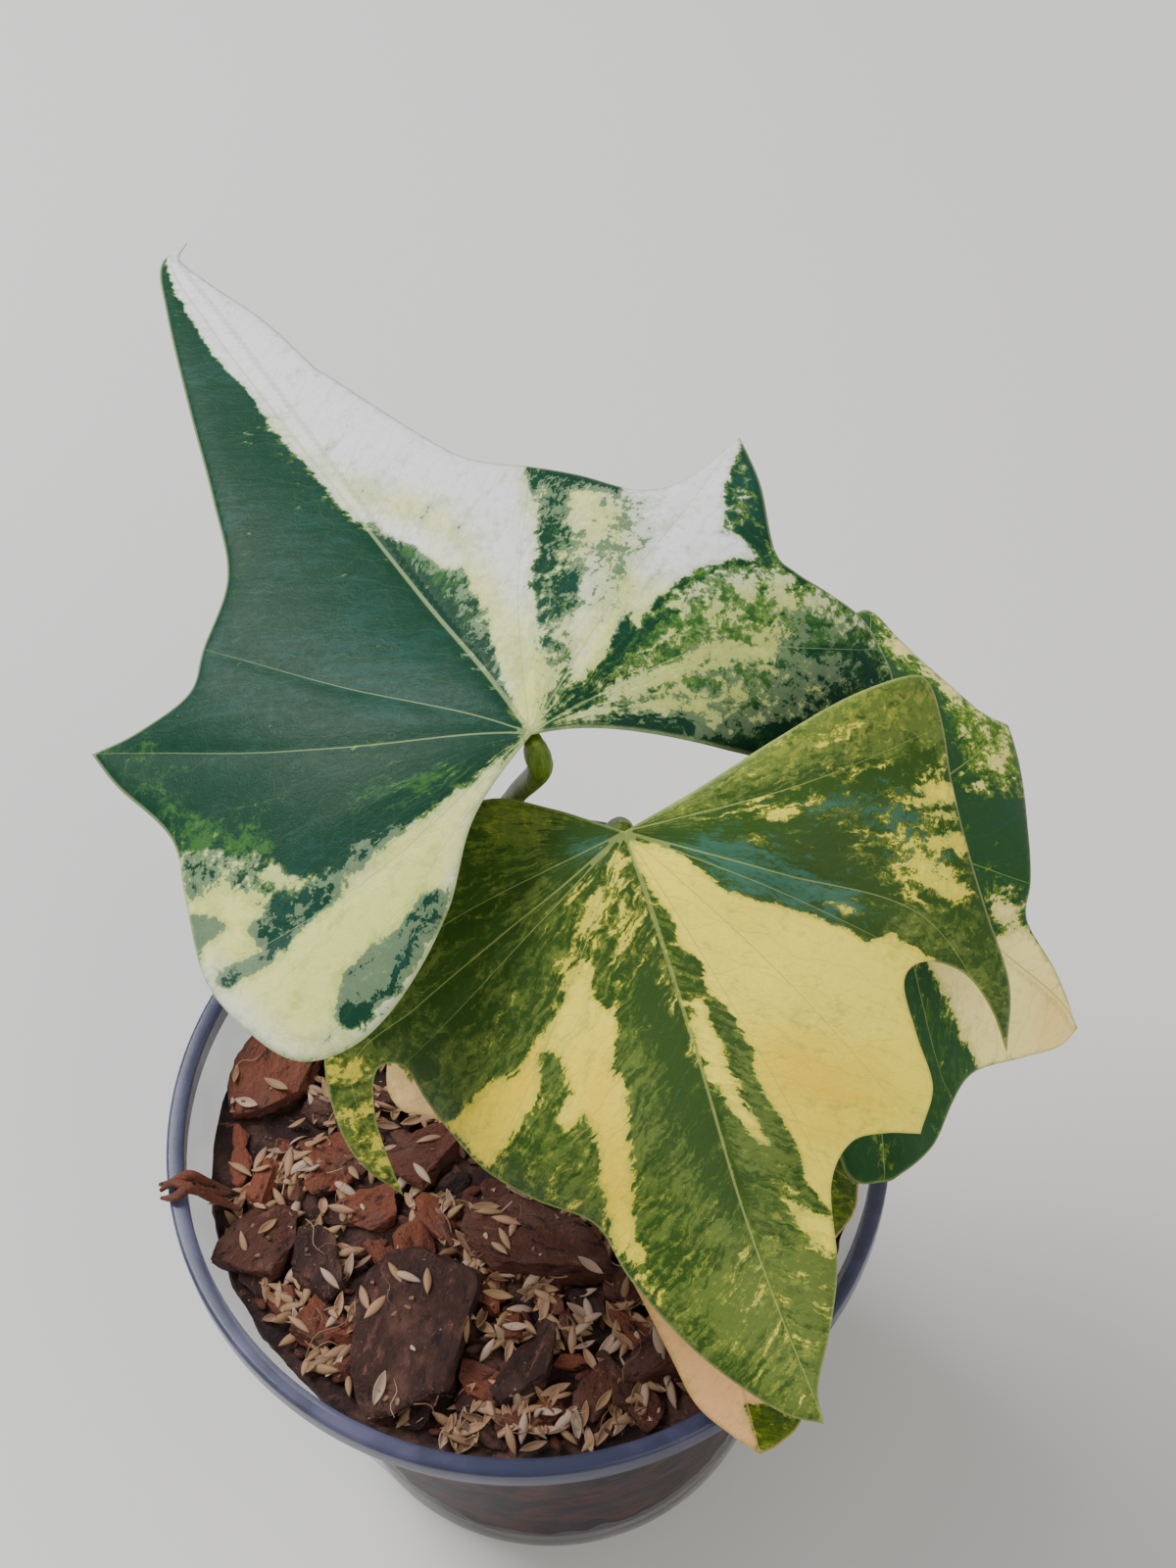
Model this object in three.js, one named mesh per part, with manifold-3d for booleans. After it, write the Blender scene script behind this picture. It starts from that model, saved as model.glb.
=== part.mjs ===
// A variegated pterodactyl anthurium in a clear nursery pot, in millimetres with +Z up.
// The origin is the middle of the pot's flat base, and the pot's front is towards -Y.
import * as THREE from "three";
import { TessellateModifier } from "three/addons/modifiers/TessellateModifier.js";
import { mergeVertices } from "three/addons/utils/BufferGeometryUtils.js";
import Module from "manifold-3d";

const wasm = await Module();
wasm.setup();

// Driving sizes of the pot
const POT_HEIGHT = 125;
const RIM_RADIUS = 76;
const BASE_RADIUS = 52;
const BODY_RADIUS = 72.5; // outside of the tapered wall where the rim starts
const WALL = 1.2;
const SKIRT = 6; // how far the rolled rim hangs down outside the wall
const LIP_ROUND = 0.8;
const FOOT_ROUND = 1.6;
const POT_SIDES = 48;
const DRAIN_COUNT = 8;
const DRAIN_LENGTH = 13;
const DRAIN_WIDTH = 4;
const DRAIN_RADIUS = 38; // from the pot's middle to the middle of a drain slot
const DRAIN_FACETS = 5; // in each round end of a drain slot

// Driving sizes of what fills the pot
const GAP = 0.3; // between pieces that rest on each other
const FILL_EDGE = 111; // height of the fill at the pot's wall
const FILL_CROWN = 114; // height of the fill in the middle
const FILL_SIDES = 36;
const CHIP_COUNT = 32;
const CHIP_SHORTEST = 8;
const CHIP_LONGEST = 16;
const CHIP_WIDTH = 0.7; // as a share of its length
const CHIP_DEPTH = 0.45; // as a share of its length
const CHIP_CORNER = 0.6; // its farthest corner from its middle, as a share of its length
const CHIP_PROUD = 0.1; // its middle above the fill, as a share of its depth
const CHIP_TILT = 0.8; // the whole range of its tilts, in radians
const LARGE_CHIP_TILT = 0.3;
const HUSK_COUNT = 80;
const HUSK_LENGTH = 7.4;
const HUSK_WIDTH = 2.6;
const HUSK_PROUD = 0.4; // its middle above the fill
const HUSK_TILT = 0.5;
const WALL_MARGIN = 1.5; // between the wall and the chips and husks
const FOOT_ROOM = 3; // height over which the fill's foot is cut back from the pot's corner
const CLEAR_RING = 13; // bare fill round the middle of the stem
const SEED = 7;

// Driving sizes of the plant
const STEM = new THREE.Vector2(-6, 26); // where the stem stands in the pot
const STEM_RADIUS = 7;
const STEM_TOP = 132;
const STEM_FOOT = 84;
const STEM_SIDES = 14;
const ROOT_RADIUS = 2.4;
const ROOT_START = 92; // height at which the roots leave the stem
const ROOT_ARCH = 6; // how far a root rises over the straight line to its end
const ROOT_TAPER = 0.8; // how much thinner a root is at its end, and thicker at its start
const ROOT_SIDES = 6;
const ROOT_STEPS = 6;
const STALK_SIDES = 8;
const STALK_STEPS = 13;
const SHEATH_STEPS = 5;
const STALK_RADIUS = 2;
const STALK_TAPER = 0.8; // how thick a stalk is where it meets its leaf, as a share
const SHEATH = 8; // length of the leaf base that each stalk grows from
const SHEATH_BULGE = 3.2; // from the end of a leaf base back to where it is thickest
const SHEATH_RADII = [3, 3.3, 2.6]; // inside the stem, at the bulge and at the end
const SHEATH_LOWEST = 117; // height at which the lowest leaf bases leave the middle of the stem
const KNEE = 8; // length of the swollen joint under each leaf
const SWELLING = 0.4; // how much thicker a stalk is there and at its foot
const BLADE = 0.8; // thickness of a leaf
const EDGE_FACET = 8; // longest side of a facet along a leaf's edge
const FACET = 13; // and anywhere else on it
const FACET_SPLITS = 12; // rounds of splitting that bring all facets down to that
const LOOSENESS = 60; // how freely a blade passes the points it is drawn through

// Small helpers for closed solids

function solidOf(geometry) {
  const bare = geometry.clone();
  bare.deleteAttribute("normal");
  bare.deleteAttribute("uv");
  const merged = mergeVertices(bare, 1e-4);
  const corners = merged.index.array;
  const kept = [];
  for (let i = 0; i < corners.length; i += 3) {
    const [a, b, c] = corners.slice(i, i + 3);
    if (a !== b && b !== c && c !== a) kept.push(a, b, c);
  }
  const vertProperties = merged.attributes.position.array;
  const triVerts = new Uint32Array(kept);
  return new wasm.Manifold(new wasm.Mesh({ numProp: 3, vertProperties, triVerts }));
}

// The largest closed surface of a solid: hollows sealed by joining are filled, and loose scraps dropped
function largest(solid) {
  return solid.decompose().reduce((best, body) => (body.volume() > best.volume() ? body : best));
}

function geometryOf(solid) {
  const { vertProperties, triVerts } = solid.getMesh();
  const geometry = new THREE.BufferGeometry();
  geometry.setAttribute("position", new THREE.BufferAttribute(vertProperties, 3));
  geometry.setIndex(new THREE.BufferAttribute(triVerts, 1));
  return geometry;
}

function meshOf(name, geometry, material) {
  geometry.computeVertexNormals();
  const mesh = new THREE.Mesh(geometry, material);
  mesh.name = name;
  return mesh;
}

const vector = ([x, y, z]) => new THREE.Vector3(x, y, z);

// A repeatable stream of numbers from 0 to 1
function seeded(seed) {
  let state = seed;
  return () => {
    state = (state * 1664525 + 1013904223) % 4294967296;
    return state / 4294967296;
  };
}

// A profile of [radius, height] points turned round the vertical axis
function turned(profile, sides) {
  const points = profile.map(([radius, height]) => new THREE.Vector2(radius, height));
  return new THREE.LatheGeometry(points, sides).rotateX(Math.PI / 2);
}

// A closed tube through the points, its radius given at each of them
function tube(points, radii, sides, steps) {
  const path = new THREE.CatmullRomCurve3(points);
  const frames = path.computeFrenetFrames(steps);
  const positions = [];
  const index = [];
  for (let i = 0; i <= steps; i++) {
    const share = i / steps;
    const middle = path.getPointAt(share);
    const place = path.getUtoTmapping(share) * (radii.length - 1);
    const before = Math.min(Math.floor(place), radii.length - 2);
    const radius = THREE.MathUtils.lerp(radii[before], radii[before + 1], place - before);
    for (let side = 0; side < sides; side++) {
      const turn = (side / sides) * 2 * Math.PI;
      const spot = middle.clone();
      spot.addScaledVector(frames.normals[i], radius * Math.cos(turn));
      spot.addScaledVector(frames.binormals[i], radius * Math.sin(turn));
      positions.push(...spot);
    }
  }
  for (let i = 0; i < steps; i++) {
    for (let side = 0; side < sides; side++) {
      const a = i * sides + side;
      const b = i * sides + ((side + 1) % sides);
      index.push(a, b, b + sides, a, b + sides, a + sides);
    }
  }
  const last = steps * sides;
  for (let side = 1; side < sides - 1; side++) {
    index.push(0, side + 1, side);
    index.push(last, last + side, last + side + 1);
  }
  const geometry = new THREE.BufferGeometry();
  geometry.setAttribute("position", new THREE.Float32BufferAttribute(positions, 3));
  geometry.setIndex(index);
  return geometry;
}

// The pot: a tapered wall, a flat base with drain slots and a rim rolled outwards

function wallRadius(height) {
  const share = (height - FOOT_ROUND) / (POT_HEIGHT - SKIRT - FOOT_ROUND);
  return THREE.MathUtils.lerp(BASE_RADIUS, BODY_RADIUS, share);
}

function makePot() {
  const rimFoot = POT_HEIGHT - SKIRT;
  const rimInside = RIM_RADIUS - WALL;
  const wallInside = wallRadius(POT_HEIGHT) - WALL;
  const profile = [
    [0, 0],
    [BASE_RADIUS - FOOT_ROUND, 0],
    [BASE_RADIUS, FOOT_ROUND],
    [wallRadius(rimFoot), rimFoot],
    [wallRadius(POT_HEIGHT - WALL), POT_HEIGHT - WALL],
    [rimInside, POT_HEIGHT - WALL],
    [rimInside, rimFoot],
    [RIM_RADIUS, rimFoot],
    [RIM_RADIUS, POT_HEIGHT - LIP_ROUND],
    [RIM_RADIUS - LIP_ROUND, POT_HEIGHT],
    [wallInside + LIP_ROUND, POT_HEIGHT],
    [wallInside, POT_HEIGHT - LIP_ROUND],
    [wallRadius(FOOT_ROUND) - WALL, FOOT_ROUND],
    [BASE_RADIUS - FOOT_ROUND - WALL / 2, WALL],
    [0, WALL],
  ];
  let pot = solidOf(turned(profile, POT_SIDES));
  const half = (DRAIN_LENGTH - DRAIN_WIDTH) / 2;
  const slot = new THREE.Shape();
  slot.absarc(half, 0, DRAIN_WIDTH / 2, -Math.PI / 2, Math.PI / 2);
  slot.absarc(-half, 0, DRAIN_WIDTH / 2, Math.PI / 2, 1.5 * Math.PI);
  for (let i = 0; i < DRAIN_COUNT; i++) {
    const sizes = { depth: 3 * WALL, bevelEnabled: false, curveSegments: DRAIN_FACETS };
    const cutter = new THREE.ExtrudeGeometry(slot, sizes);
    cutter.translate(DRAIN_RADIUS, 0, -WALL);
    cutter.rotateZ((i / DRAIN_COUNT) * 2 * Math.PI);
    pot = pot.subtract(solidOf(cutter));
  }
  return geometryOf(pot);
}

// The stem: a thick stub with a base for each leaf stalk and thick roots, in one piece

// Where each stalk leaves the stem, then where it bends on its way to the leaf
const STALKS = {
  back: [[-10, 32, 138], [-4, 34, 182], [3, 28, 206]],
  front: [[-1, 22, 138], [6, 24, 174], [18, 17, 204]],
  right: [[4, 29, 130], [22, 32, 154], [46, 31, 178]],
  under: [[-4, 15, 126], [2, 10, 140], [13, 5, 152]],
};

// A point on the line on which a stalk leaves the stem, so far beyond its foot
function stalkLine(name, beyondFoot) {
  const [foot, bend] = STALKS[name].map(vector);
  return foot.clone().addScaledVector(bend.sub(foot).normalize(), beyondFoot);
}

// Where each root ends in the fill
const ROOT_ENDS = [
  [22, 40, 62],
  [-24, 48, 66],
  [-38, 14, 58],
  [-8, -14, 60],
  [26, 4, 70],
];

// The stub above its foot: its radius as a share of the stem's, and the height, with a ridge at
// each scar of an old leaf
const STUB = [
  [1, 94],
  [1.12, 104],
  [1, 110],
  [1.08, 118],
  [0.92, 121],
  [0.95, 127],
  [0.6, 131],
];

const FOOT_SHARE = 0.8; // the radius of its foot, as a share

// The stub and its roots, thicker all round by a clearance
function stemParts(clearance) {
  const profile = STUB.map(([share, height]) => [share * STEM_RADIUS + clearance, height]);
  const foot = STEM_FOOT - clearance;
  profile.unshift([0, foot], [FOOT_SHARE * STEM_RADIUS + clearance, foot]);
  profile.push([0, STEM_TOP]);
  let solid = solidOf(turned(profile, STEM_SIDES).translate(STEM.x, STEM.y, 0));
  const radii = [ROOT_RADIUS + ROOT_TAPER, ROOT_RADIUS, ROOT_RADIUS - ROOT_TAPER].map((r) => r + clearance);
  for (const rootEnd of ROOT_ENDS) {
    const start = new THREE.Vector3(STEM.x, STEM.y, ROOT_START);
    const end = vector(rootEnd);
    const elbow = start.clone().lerp(end, 0.5);
    elbow.z += ROOT_ARCH;
    end.addScaledVector(end.clone().sub(elbow).normalize(), clearance);
    solid = solid.add(solidOf(tube([start, elbow, end], radii, ROOT_SIDES, ROOT_STEPS)));
  }
  return solid;
}

function makeStem() {
  let stem = stemParts(0);
  for (const name of Object.keys(STALKS)) {
    const foot = stalkLine(name, 0);
    const inside = new THREE.Vector3(STEM.x, STEM.y, Math.max(foot.z - 2 * SHEATH, SHEATH_LOWEST));
    const sheath = [inside, stalkLine(name, -SHEATH_BULGE), foot];
    stem = stem.add(solidOf(tube(sheath, SHEATH_RADII, STALK_SIDES, SHEATH_STEPS)));
  }
  return geometryOf(stem);
}

// The substrate: a fill with bark chips and rice husks fused to its top

function fillHeight(radius) {
  const share = radius / wallRadius(FILL_EDGE);
  return THREE.MathUtils.lerp(FILL_CROWN, FILL_EDGE, share * share);
}

// A flat rough chunk, its corners moved a little at random
function chunk(random, length, width, depth) {
  const shape = new THREE.IcosahedronGeometry(0.5, 0);
  shape.deleteAttribute("normal");
  shape.deleteAttribute("uv");
  const rough = mergeVertices(shape, 1e-4);
  const corners = rough.attributes.position;
  for (let i = 0; i < corners.count; i++) {
    const push = () => 0.85 + 0.35 * random();
    corners.setXYZ(i, corners.getX(i) * push(), corners.getY(i) * push(), corners.getZ(i) * push());
  }
  return rough.scale(length, width, depth);
}

function place(geometry, x, y, z, turn, tilt) {
  return geometry.rotateX(tilt).rotateZ(turn).translate(x, y, z);
}

// The largest chips, as [x, y, turn in degrees, length, width, depth]
const LARGE_CHIPS = [
  [-24, -40, 70, 33, 24, 12],
  [-45, -24, 80, 15, 12, 9],
  [-57, -21, 40, 19, 14, 9],
  [-22, -2, 15, 16, 12, 9],
  [2, -23, -20, 27, 17, 10],
  [-2, -50, 55, 17, 12, 9],
  [-52, 22, 60, 26, 18, 9],
  [59, -17, 60, 18, 12, 10],
  [-34, -12, 20, 13, 10, 7],
  [24, -50, 30, 16, 12, 8],
  [30, 44, 10, 24, 16, 9],
  [-30, 48, 130, 22, 15, 9],
];

function makeSubstrate() {
  const random = seeded(SEED);
  const low = WALL + GAP;
  const inside = (height) => wallRadius(height) - WALL - GAP;
  const floor = BASE_RADIUS - FOOT_ROUND - 2 * WALL - GAP;
  const side = [
    [0, low],
    [floor, low],
    [inside(low + FOOT_ROOM), low + FOOT_ROOM],
  ];
  const edge = inside(FILL_EDGE);
  const top = [edge, (2 * edge) / 3, edge / 3, 0].map((radius) => [radius, fillHeight(radius)]);
  const room = [
    [inside(POT_HEIGHT), POT_HEIGHT],
    [0, POT_HEIGHT],
  ];
  let fill = solidOf(turned([...side, ...top], FILL_SIDES));
  const reach = edge - WALL_MARGIN;
  const clearOfWall = (x, y, half) => Math.hypot(x, y) + half < reach;
  const clearOfStem = (x, y, half) => Math.hypot(x - STEM.x, y - STEM.y) - half > CLEAR_RING;
  const add = (shape) => {
    fill = fill.add(solidOf(shape));
  };
  for (const [x, y, turn, length, width, depth] of LARGE_CHIPS) {
    const height = fillHeight(Math.hypot(x, y)) + CHIP_PROUD * depth;
    const tilt = LARGE_CHIP_TILT * (random() - 0.5);
    add(place(chunk(random, length, width, depth), x, y, height, THREE.MathUtils.degToRad(turn), tilt));
  }
  let placed = 0;
  while (placed < CHIP_COUNT) {
    const length = THREE.MathUtils.lerp(CHIP_SHORTEST, CHIP_LONGEST, random());
    const around = 2 * Math.PI * random();
    const out = reach * Math.sqrt(random());
    const [x, y] = [out * Math.cos(around), out * Math.sin(around)];
    const corner = CHIP_CORNER * length;
    if (!clearOfWall(x, y, corner) || !clearOfStem(x, y, corner)) continue;
    const depth = CHIP_DEPTH * length;
    const shape = chunk(random, length, CHIP_WIDTH * length, depth);
    const height = fillHeight(out) + CHIP_PROUD * depth;
    add(place(shape, x, y, height, 2 * Math.PI * random(), CHIP_TILT * (random() - 0.5)));
    placed += 1;
  }
  placed = 0;
  while (placed < HUSK_COUNT) {
    const around = 2 * Math.PI * random();
    const out = reach * Math.sqrt(random());
    const [x, y] = [out * Math.cos(around), out * Math.sin(around)];
    if (!clearOfWall(x, y, HUSK_LENGTH / 2) || !clearOfStem(x, y, HUSK_LENGTH / 2)) continue;
    const shape = new THREE.OctahedronGeometry(0.5).scale(HUSK_LENGTH, HUSK_WIDTH, HUSK_WIDTH);
    const height = fillHeight(out) + HUSK_PROUD;
    add(place(shape, x, y, height, 2 * Math.PI * random(), HUSK_TILT * (random() - 0.5)));
    placed += 1;
  }
  fill = fill.intersect(solidOf(turned([...side, ...room], FILL_SIDES)));
  return geometryOf(largest(largest(fill).subtract(stemParts(GAP))));
}

// The leaves. A blade is drawn in its own frame: [across, ahead, up] from its junction with the
// stalk, looking along the midrib to the tip. The edge runs from the end of the left basal lobe
// round the tip to the right one, then back past the junction, and TIP marks its sharp points.
// Each vein starts at the junction, passes through the points given and ends at the edge point
// with that number. The blade's height over its plane is the smoothest one through them all, and
// its stalk ends at the seat, a depth under the junction that clears the blade's fall round it.
const TIP = 1;

const LEAVES = {
  back: {
    junction: [7.5, 18.5, 240],
    heading: 117.4,
    pitch: -5.2,
    roll: 4.9,
    seat: 1.5,
    colour: "#5f7f4c",
    edge: [
      [-63, -20, -23],
      [-68, -11, -21],
      [-70, 2, -19],
      [-66, 17, -16],
      [-62.5, 29, -13],
      [-66, 45, -12],
      [-67, 55, -12, TIP],
      [-57.5, 51, -8],
      [-46.5, 49, -3],
      [-40, 55, -1],
      [-29, 66, 1],
      [-23, 84, 3],
      [-16.5, 109, 3],
      [-8.5, 138, 2],
      [-3, 154, 0],
      [6, 165, -7, TIP],
      [1, 153, 0],
      [3, 140, 1],
      [7, 122, 2],
      [9, 104, 3],
      [11, 98, 2],
      [19, 72, 1],
      [24, 63, 0],
      [32, 57, -2],
      [39, 51, -4],
      [47, 42, -6],
      [56, 40, -7],
      [71, 45, -10, TIP],
      [68, 33, -11],
      [62, 19, -13],
      [63, 14, -15],
      [67, 9.5, -20],
      [71, 5, -26],
      [72, 0, -32],
      [71, -5, -38],
      [63, -13, -43],
      [48, -13, -36],
      [34, -8, -25],
      [23, -5, -14],
      [10, -2, -4],
      [0, 0, 0, TIP],
      [-16, -6, -5],
      [-28, -15.5, -12],
      [-41, -21.5, -18],
      [-53, -23, -23],
    ],
    veins: [
      [2, [-36, -4, -8]],
      [6, [-34, 22, -1]],
      [9, [-22, 28, 1]],
      [15, [-1, 33, 1], [-2, 66, 2], [-3, 99, 3], [-3, 130, 3], [-1, 153, 1]],
      [23, [14, 29, 1]],
      [27, [34, 22, -2]],
      [33, [36, 5, -9]],
    ],
  },
  front: {
    junction: [23, 8.5, 222],
    heading: -71.9,
    pitch: -34.4,
    roll: -4,
    seat: 1.1,
    colour: "#8b9a4e",
    edge: [
      [-60, -10, -6],
      [-64, -7, -10],
      [-64, 1, -10],
      [-62, 12, -9],
      [-61, 25, -9],
      [-61, 37, -10],
      [-62, 52, -15],
      [-59, 65, -22, TIP],
      [-57, 55, -14],
      [-53, 46, -9],
      [-46, 41, -6],
      [-41, 43, -5],
      [-40.5, 53.5, -7],
      [-41, 64.5, -10],
      [-37, 73, -16, TIP],
      [-30, 70, -13],
      [-23, 69, -10],
      [-17, 75, -10],
      [-13, 89, -7],
      [-8, 99, -6],
      [-2, 108, -3],
      [-1, 115, -4, TIP],
      [6.5, 109.5, -4],
      [17, 95, -6],
      [24, 79, -8],
      [27, 67, -8],
      [36, 59, -8],
      [43, 51, -10],
      [47, 42, -13],
      [49, 36, -15],
      [51, 29, -17],
      [56, 29, -22],
      [59, 39, -32],
      [59, 57, -49, TIP],
      [64, 48, -37],
      [66, 39, -29],
      [65, 26, -23],
      [60, 13, -20],
      [51, 2, -19],
      [34, -11, -17],
      [21, -13, -11],
      [11, -8, -4],
      [0, 0, 0, TIP],
      [-14, -3, 2],
      [-30, -7, 3],
      [-46, -10, 0],
    ],
    veins: [
      [2, [-32, 2, 4]],
      [7, [-24, 16, 4], [-48, 33, -3]],
      [10, [-24, 20, 1]],
      [14, [-19, 34, 0]],
      [17, [-9, 37, -1]],
      [21, [0, 38, -1], [1, 77, -2]],
      [27, [21, 27, -2]],
      [30, [25, 14, -4]],
      [33, [14, 6, -1], [29, 12, -5], [45, 19, -12], [60, 27, -22]],
      [37, [30, 5, -9]],
    ],
  },
  right: {
    junction: [66.5, 21.5, 196],
    heading: -23.5,
    pitch: -42.6,
    roll: -9.1,
    seat: 2.5,
    colour: "#56784a",
    edge: [
      [-55, -24, -58],
      [-60, -14, -51],
      [-57, -9, -38],
      [-55, -5, -31],
      [-59, -1, -30],
      [-55, 4, -25],
      [-50, 10, -17],
      [-46, 20, -10],
      [-48, 29, -10, TIP],
      [-39, 34, -6],
      [-27, 38, -1],
      [-16.5, 42, 2],
      [-10, 45, 1],
      [-5, 55, 3],
      [-2, 64, 1],
      [-1, 71, -3, TIP],
      [4, 70, -5],
      [11, 63, -5],
      [20, 54, -6],
      [29, 51, -4],
      [39, 50.5, -3],
      [45.5, 49.5, -6],
      [48.5, 48.5, -11],
      [50, 42, -15],
      [36, 22, -7],
      [18, 6, 0],
      [0, 0, 0, TIP],
      [-13, -6, -11],
      [-29, -14, -30],
    ],
    veins: [
      [4, [-28, -2, -9]],
      [8, [-22, 14, -2]],
      [11, [-9, 21, 2]],
      [15, [-1, 36, 2]],
      [19, [14, 27, 0]],
      [22, [24, 24, -3]],
    ],
  },
  under: {
    junction: [21.7, -2.9, 168],
    heading: -73.9,
    pitch: -29.4,
    roll: 0,
    seat: 0.8,
    colour: "#b9b48c",
    edge: [
      [-38, 16, -10],
      [-39, 31, -8],
      [-38, 40, -7],
      [-36, 44, -8],
      [-33, 49, -7],
      [-23, 55, -1],
      [-17, 67, 2],
      [-10, 81, 2],
      [-4, 85, 1],
      [0, 86, -2, TIP],
      [4, 81, -1],
      [9, 73, -1],
      [11, 62, -2],
      [14, 45, -2],
      [18, 31, -2],
      [26, 19, -2],
      [34, 12, -2],
      [41, 5, -6],
      [46, 2, -10],
      [47, -4, -15],
      [42, -12, -15],
      [30, -12, -8],
      [13, -8, -2],
      [0, 0, 0, TIP],
      [-12, 0, 0],
      [-26, 6, -5],
    ],
    veins: [
      [3, [-18, 22, -1]],
      [9, [-1, 43, 2]],
      [14, [9, 16, 1]],
      [18, [23, 1, -3]],
    ],
  },
};

// The curve through four points, at a share of the way from the second to the third
function through(a, b, c, d, share) {
  const point = new THREE.Vector3();
  for (const axis of ["x", "y", "z"]) {
    const [p, q, r, s] = [a[axis], b[axis], c[axis], d[axis]];
    const bend = 2 * p - 5 * q + 4 * r - s + (3 * q - 3 * r + s - p) * share;
    point[axis] = q + 0.5 * share * (r - p + bend * share);
  }
  return point;
}

const beyond = (from, to) => to.clone().multiplyScalar(2).sub(from);

// The whole edge as a line of points, its sharp points kept sharp
function edgeLine({ edge }) {
  const line = [];
  edge.forEach((here, row) => {
    const at = (step) => edge[(row + step + edge.length) % edge.length];
    const [b, c] = [vector(here), vector(at(1))];
    const a = here[3] === TIP ? beyond(c, b) : vector(at(-1));
    const d = at(1)[3] === TIP ? beyond(b, c) : vector(at(2));
    const steps = Math.ceil(b.distanceTo(c) / EDGE_FACET);
    for (let k = 0; k < steps; k++) line.push(through(a, b, c, d, k / steps));
  });
  return line;
}

// The unknowns of as many linear equations, each given as a row that ends in its right-hand side
function solve(rows) {
  const size = rows.length;
  rows.forEach((_, i) => {
    let strongest = i;
    for (let k = i; k < size; k++) {
      if (Math.abs(rows[k][i]) > Math.abs(rows[strongest][i])) strongest = k;
    }
    [rows[i], rows[strongest]] = [rows[strongest], rows[i]];
    for (let k = i + 1; k < size; k++) {
      const share = rows[k][i] / rows[i][i];
      for (let j = i; j <= size; j++) rows[k][j] -= share * rows[i][j];
    }
  });
  const unknowns = [];
  for (let i = size - 1; i >= 0; i--) {
    let rest = rows[i][size];
    for (let j = i + 1; j < size; j++) rest -= rows[i][j] * unknowns[j];
    unknowns[i] = rest / rows[i][i];
  }
  return unknowns;
}

// The height of the blade over its plane, as a function of a place there: a thin plate bent
// through the points of the edge and the veins, which may pass them at a small distance
function heightOver({ edge, veins }) {
  const knots = [...edge, ...veins.flatMap((vein) => vein.slice(1))];
  const pull = (x, y, knot) => {
    const squared = (x - knot[0]) ** 2 + (y - knot[1]) ** 2;
    return squared === 0 ? 0 : squared * Math.log(squared);
  };
  const rows = knots.map(([x, y, z], i) => {
    const row = knots.map((knot) => pull(x, y, knot));
    row[i] += LOOSENESS;
    return [...row, 1, x, y, z];
  });
  rows.push([...knots.map(() => 1), 0, 0, 0, 0]);
  rows.push([...knots.map(([x]) => x), 0, 0, 0, 0]);
  rows.push([...knots.map(([, y]) => y), 0, 0, 0, 0]);
  const weights = solve(rows);
  const [base, across, ahead] = weights.slice(-3);
  return (x, y) => {
    const plane = base + across * x + ahead * y;
    return knots.reduce((height, knot, i) => height + weights[i] * pull(x, y, knot), plane);
  };
}

function leafFrame({ junction, heading, pitch, roll }) {
  const turn = new THREE.Matrix4().makeRotationZ(THREE.MathUtils.degToRad(heading - 90));
  turn.multiply(new THREE.Matrix4().makeRotationX(THREE.MathUtils.degToRad(pitch)));
  turn.multiply(new THREE.Matrix4().makeRotationY(THREE.MathUtils.degToRad(-roll)));
  return turn.setPosition(...junction);
}

// A flat sheet with the leaf's outline, split into facets and bent to its height. Its two faces
// are split alike, and stand further apart where the blade is steep so that it is as thick there.
function makeBlade(leaf) {
  const shape = new THREE.Shape(edgeLine(leaf).map(({ x, y }) => new THREE.Vector2(x, y)));
  const flat = new THREE.ExtrudeGeometry(shape, { depth: BLADE, bevelEnabled: false });
  flat.deleteAttribute("normal");
  flat.deleteAttribute("uv");
  const sheet = mergeVertices(new TessellateModifier(FACET, FACET_SPLITS).modify(flat), 1e-4);
  const height = heightOver(leaf);
  const corners = sheet.attributes.position;
  for (let i = 0; i < corners.count; i++) {
    const [x, y] = [corners.getX(i), corners.getY(i)];
    const middle = height(x, y);
    const slope = Math.hypot(height(x + 1, y) - middle, height(x, y + 1) - middle);
    const side = corners.getZ(i) / BLADE - 0.5;
    corners.setZ(i, middle + side * BLADE * Math.hypot(1, slope));
  }
  return sheet.applyMatrix4(leafFrame(leaf));
}

// The stalks: each meets its leaf square to the blade, in a swollen joint

function makeStalk(name) {
  const leaf = LEAVES[name];
  const underSeat = (depth) => new THREE.Vector3(0, 0, -leaf.seat - depth).applyMatrix4(leafFrame(leaf));
  const bends = STALKS[name].slice(1).map(vector);
  const foot = [stalkLine(name, GAP), stalkLine(name, SHEATH)];
  const joint = [underSeat(KNEE), underSeat(KNEE / 2), underSeat(0)];
  const thick = STALK_RADIUS + SWELLING;
  const slim = [thick, ...[...bends, 0].map(() => STALK_RADIUS)];
  const radii = [...slim, thick, thick, STALK_TAPER * STALK_RADIUS];
  return tube([...foot, ...bends, ...joint], radii, STALK_SIDES, STALK_STEPS);
}

// The whole plant

const plastic = new THREE.MeshStandardMaterial({ color: "#8f98b4", roughness: 0.25, metalness: 0 });
plastic.transparent = true;
plastic.opacity = 0.35;
const bark = new THREE.MeshStandardMaterial({ color: "#5a2f22", roughness: 0.9, metalness: 0 });
const stalkSkin = new THREE.MeshStandardMaterial({ color: "#6f7f3c", roughness: 0.55, metalness: 0 });
const stemSkin = new THREE.MeshStandardMaterial({ color: "#6a6238", roughness: 0.75, metalness: 0 });

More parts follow.
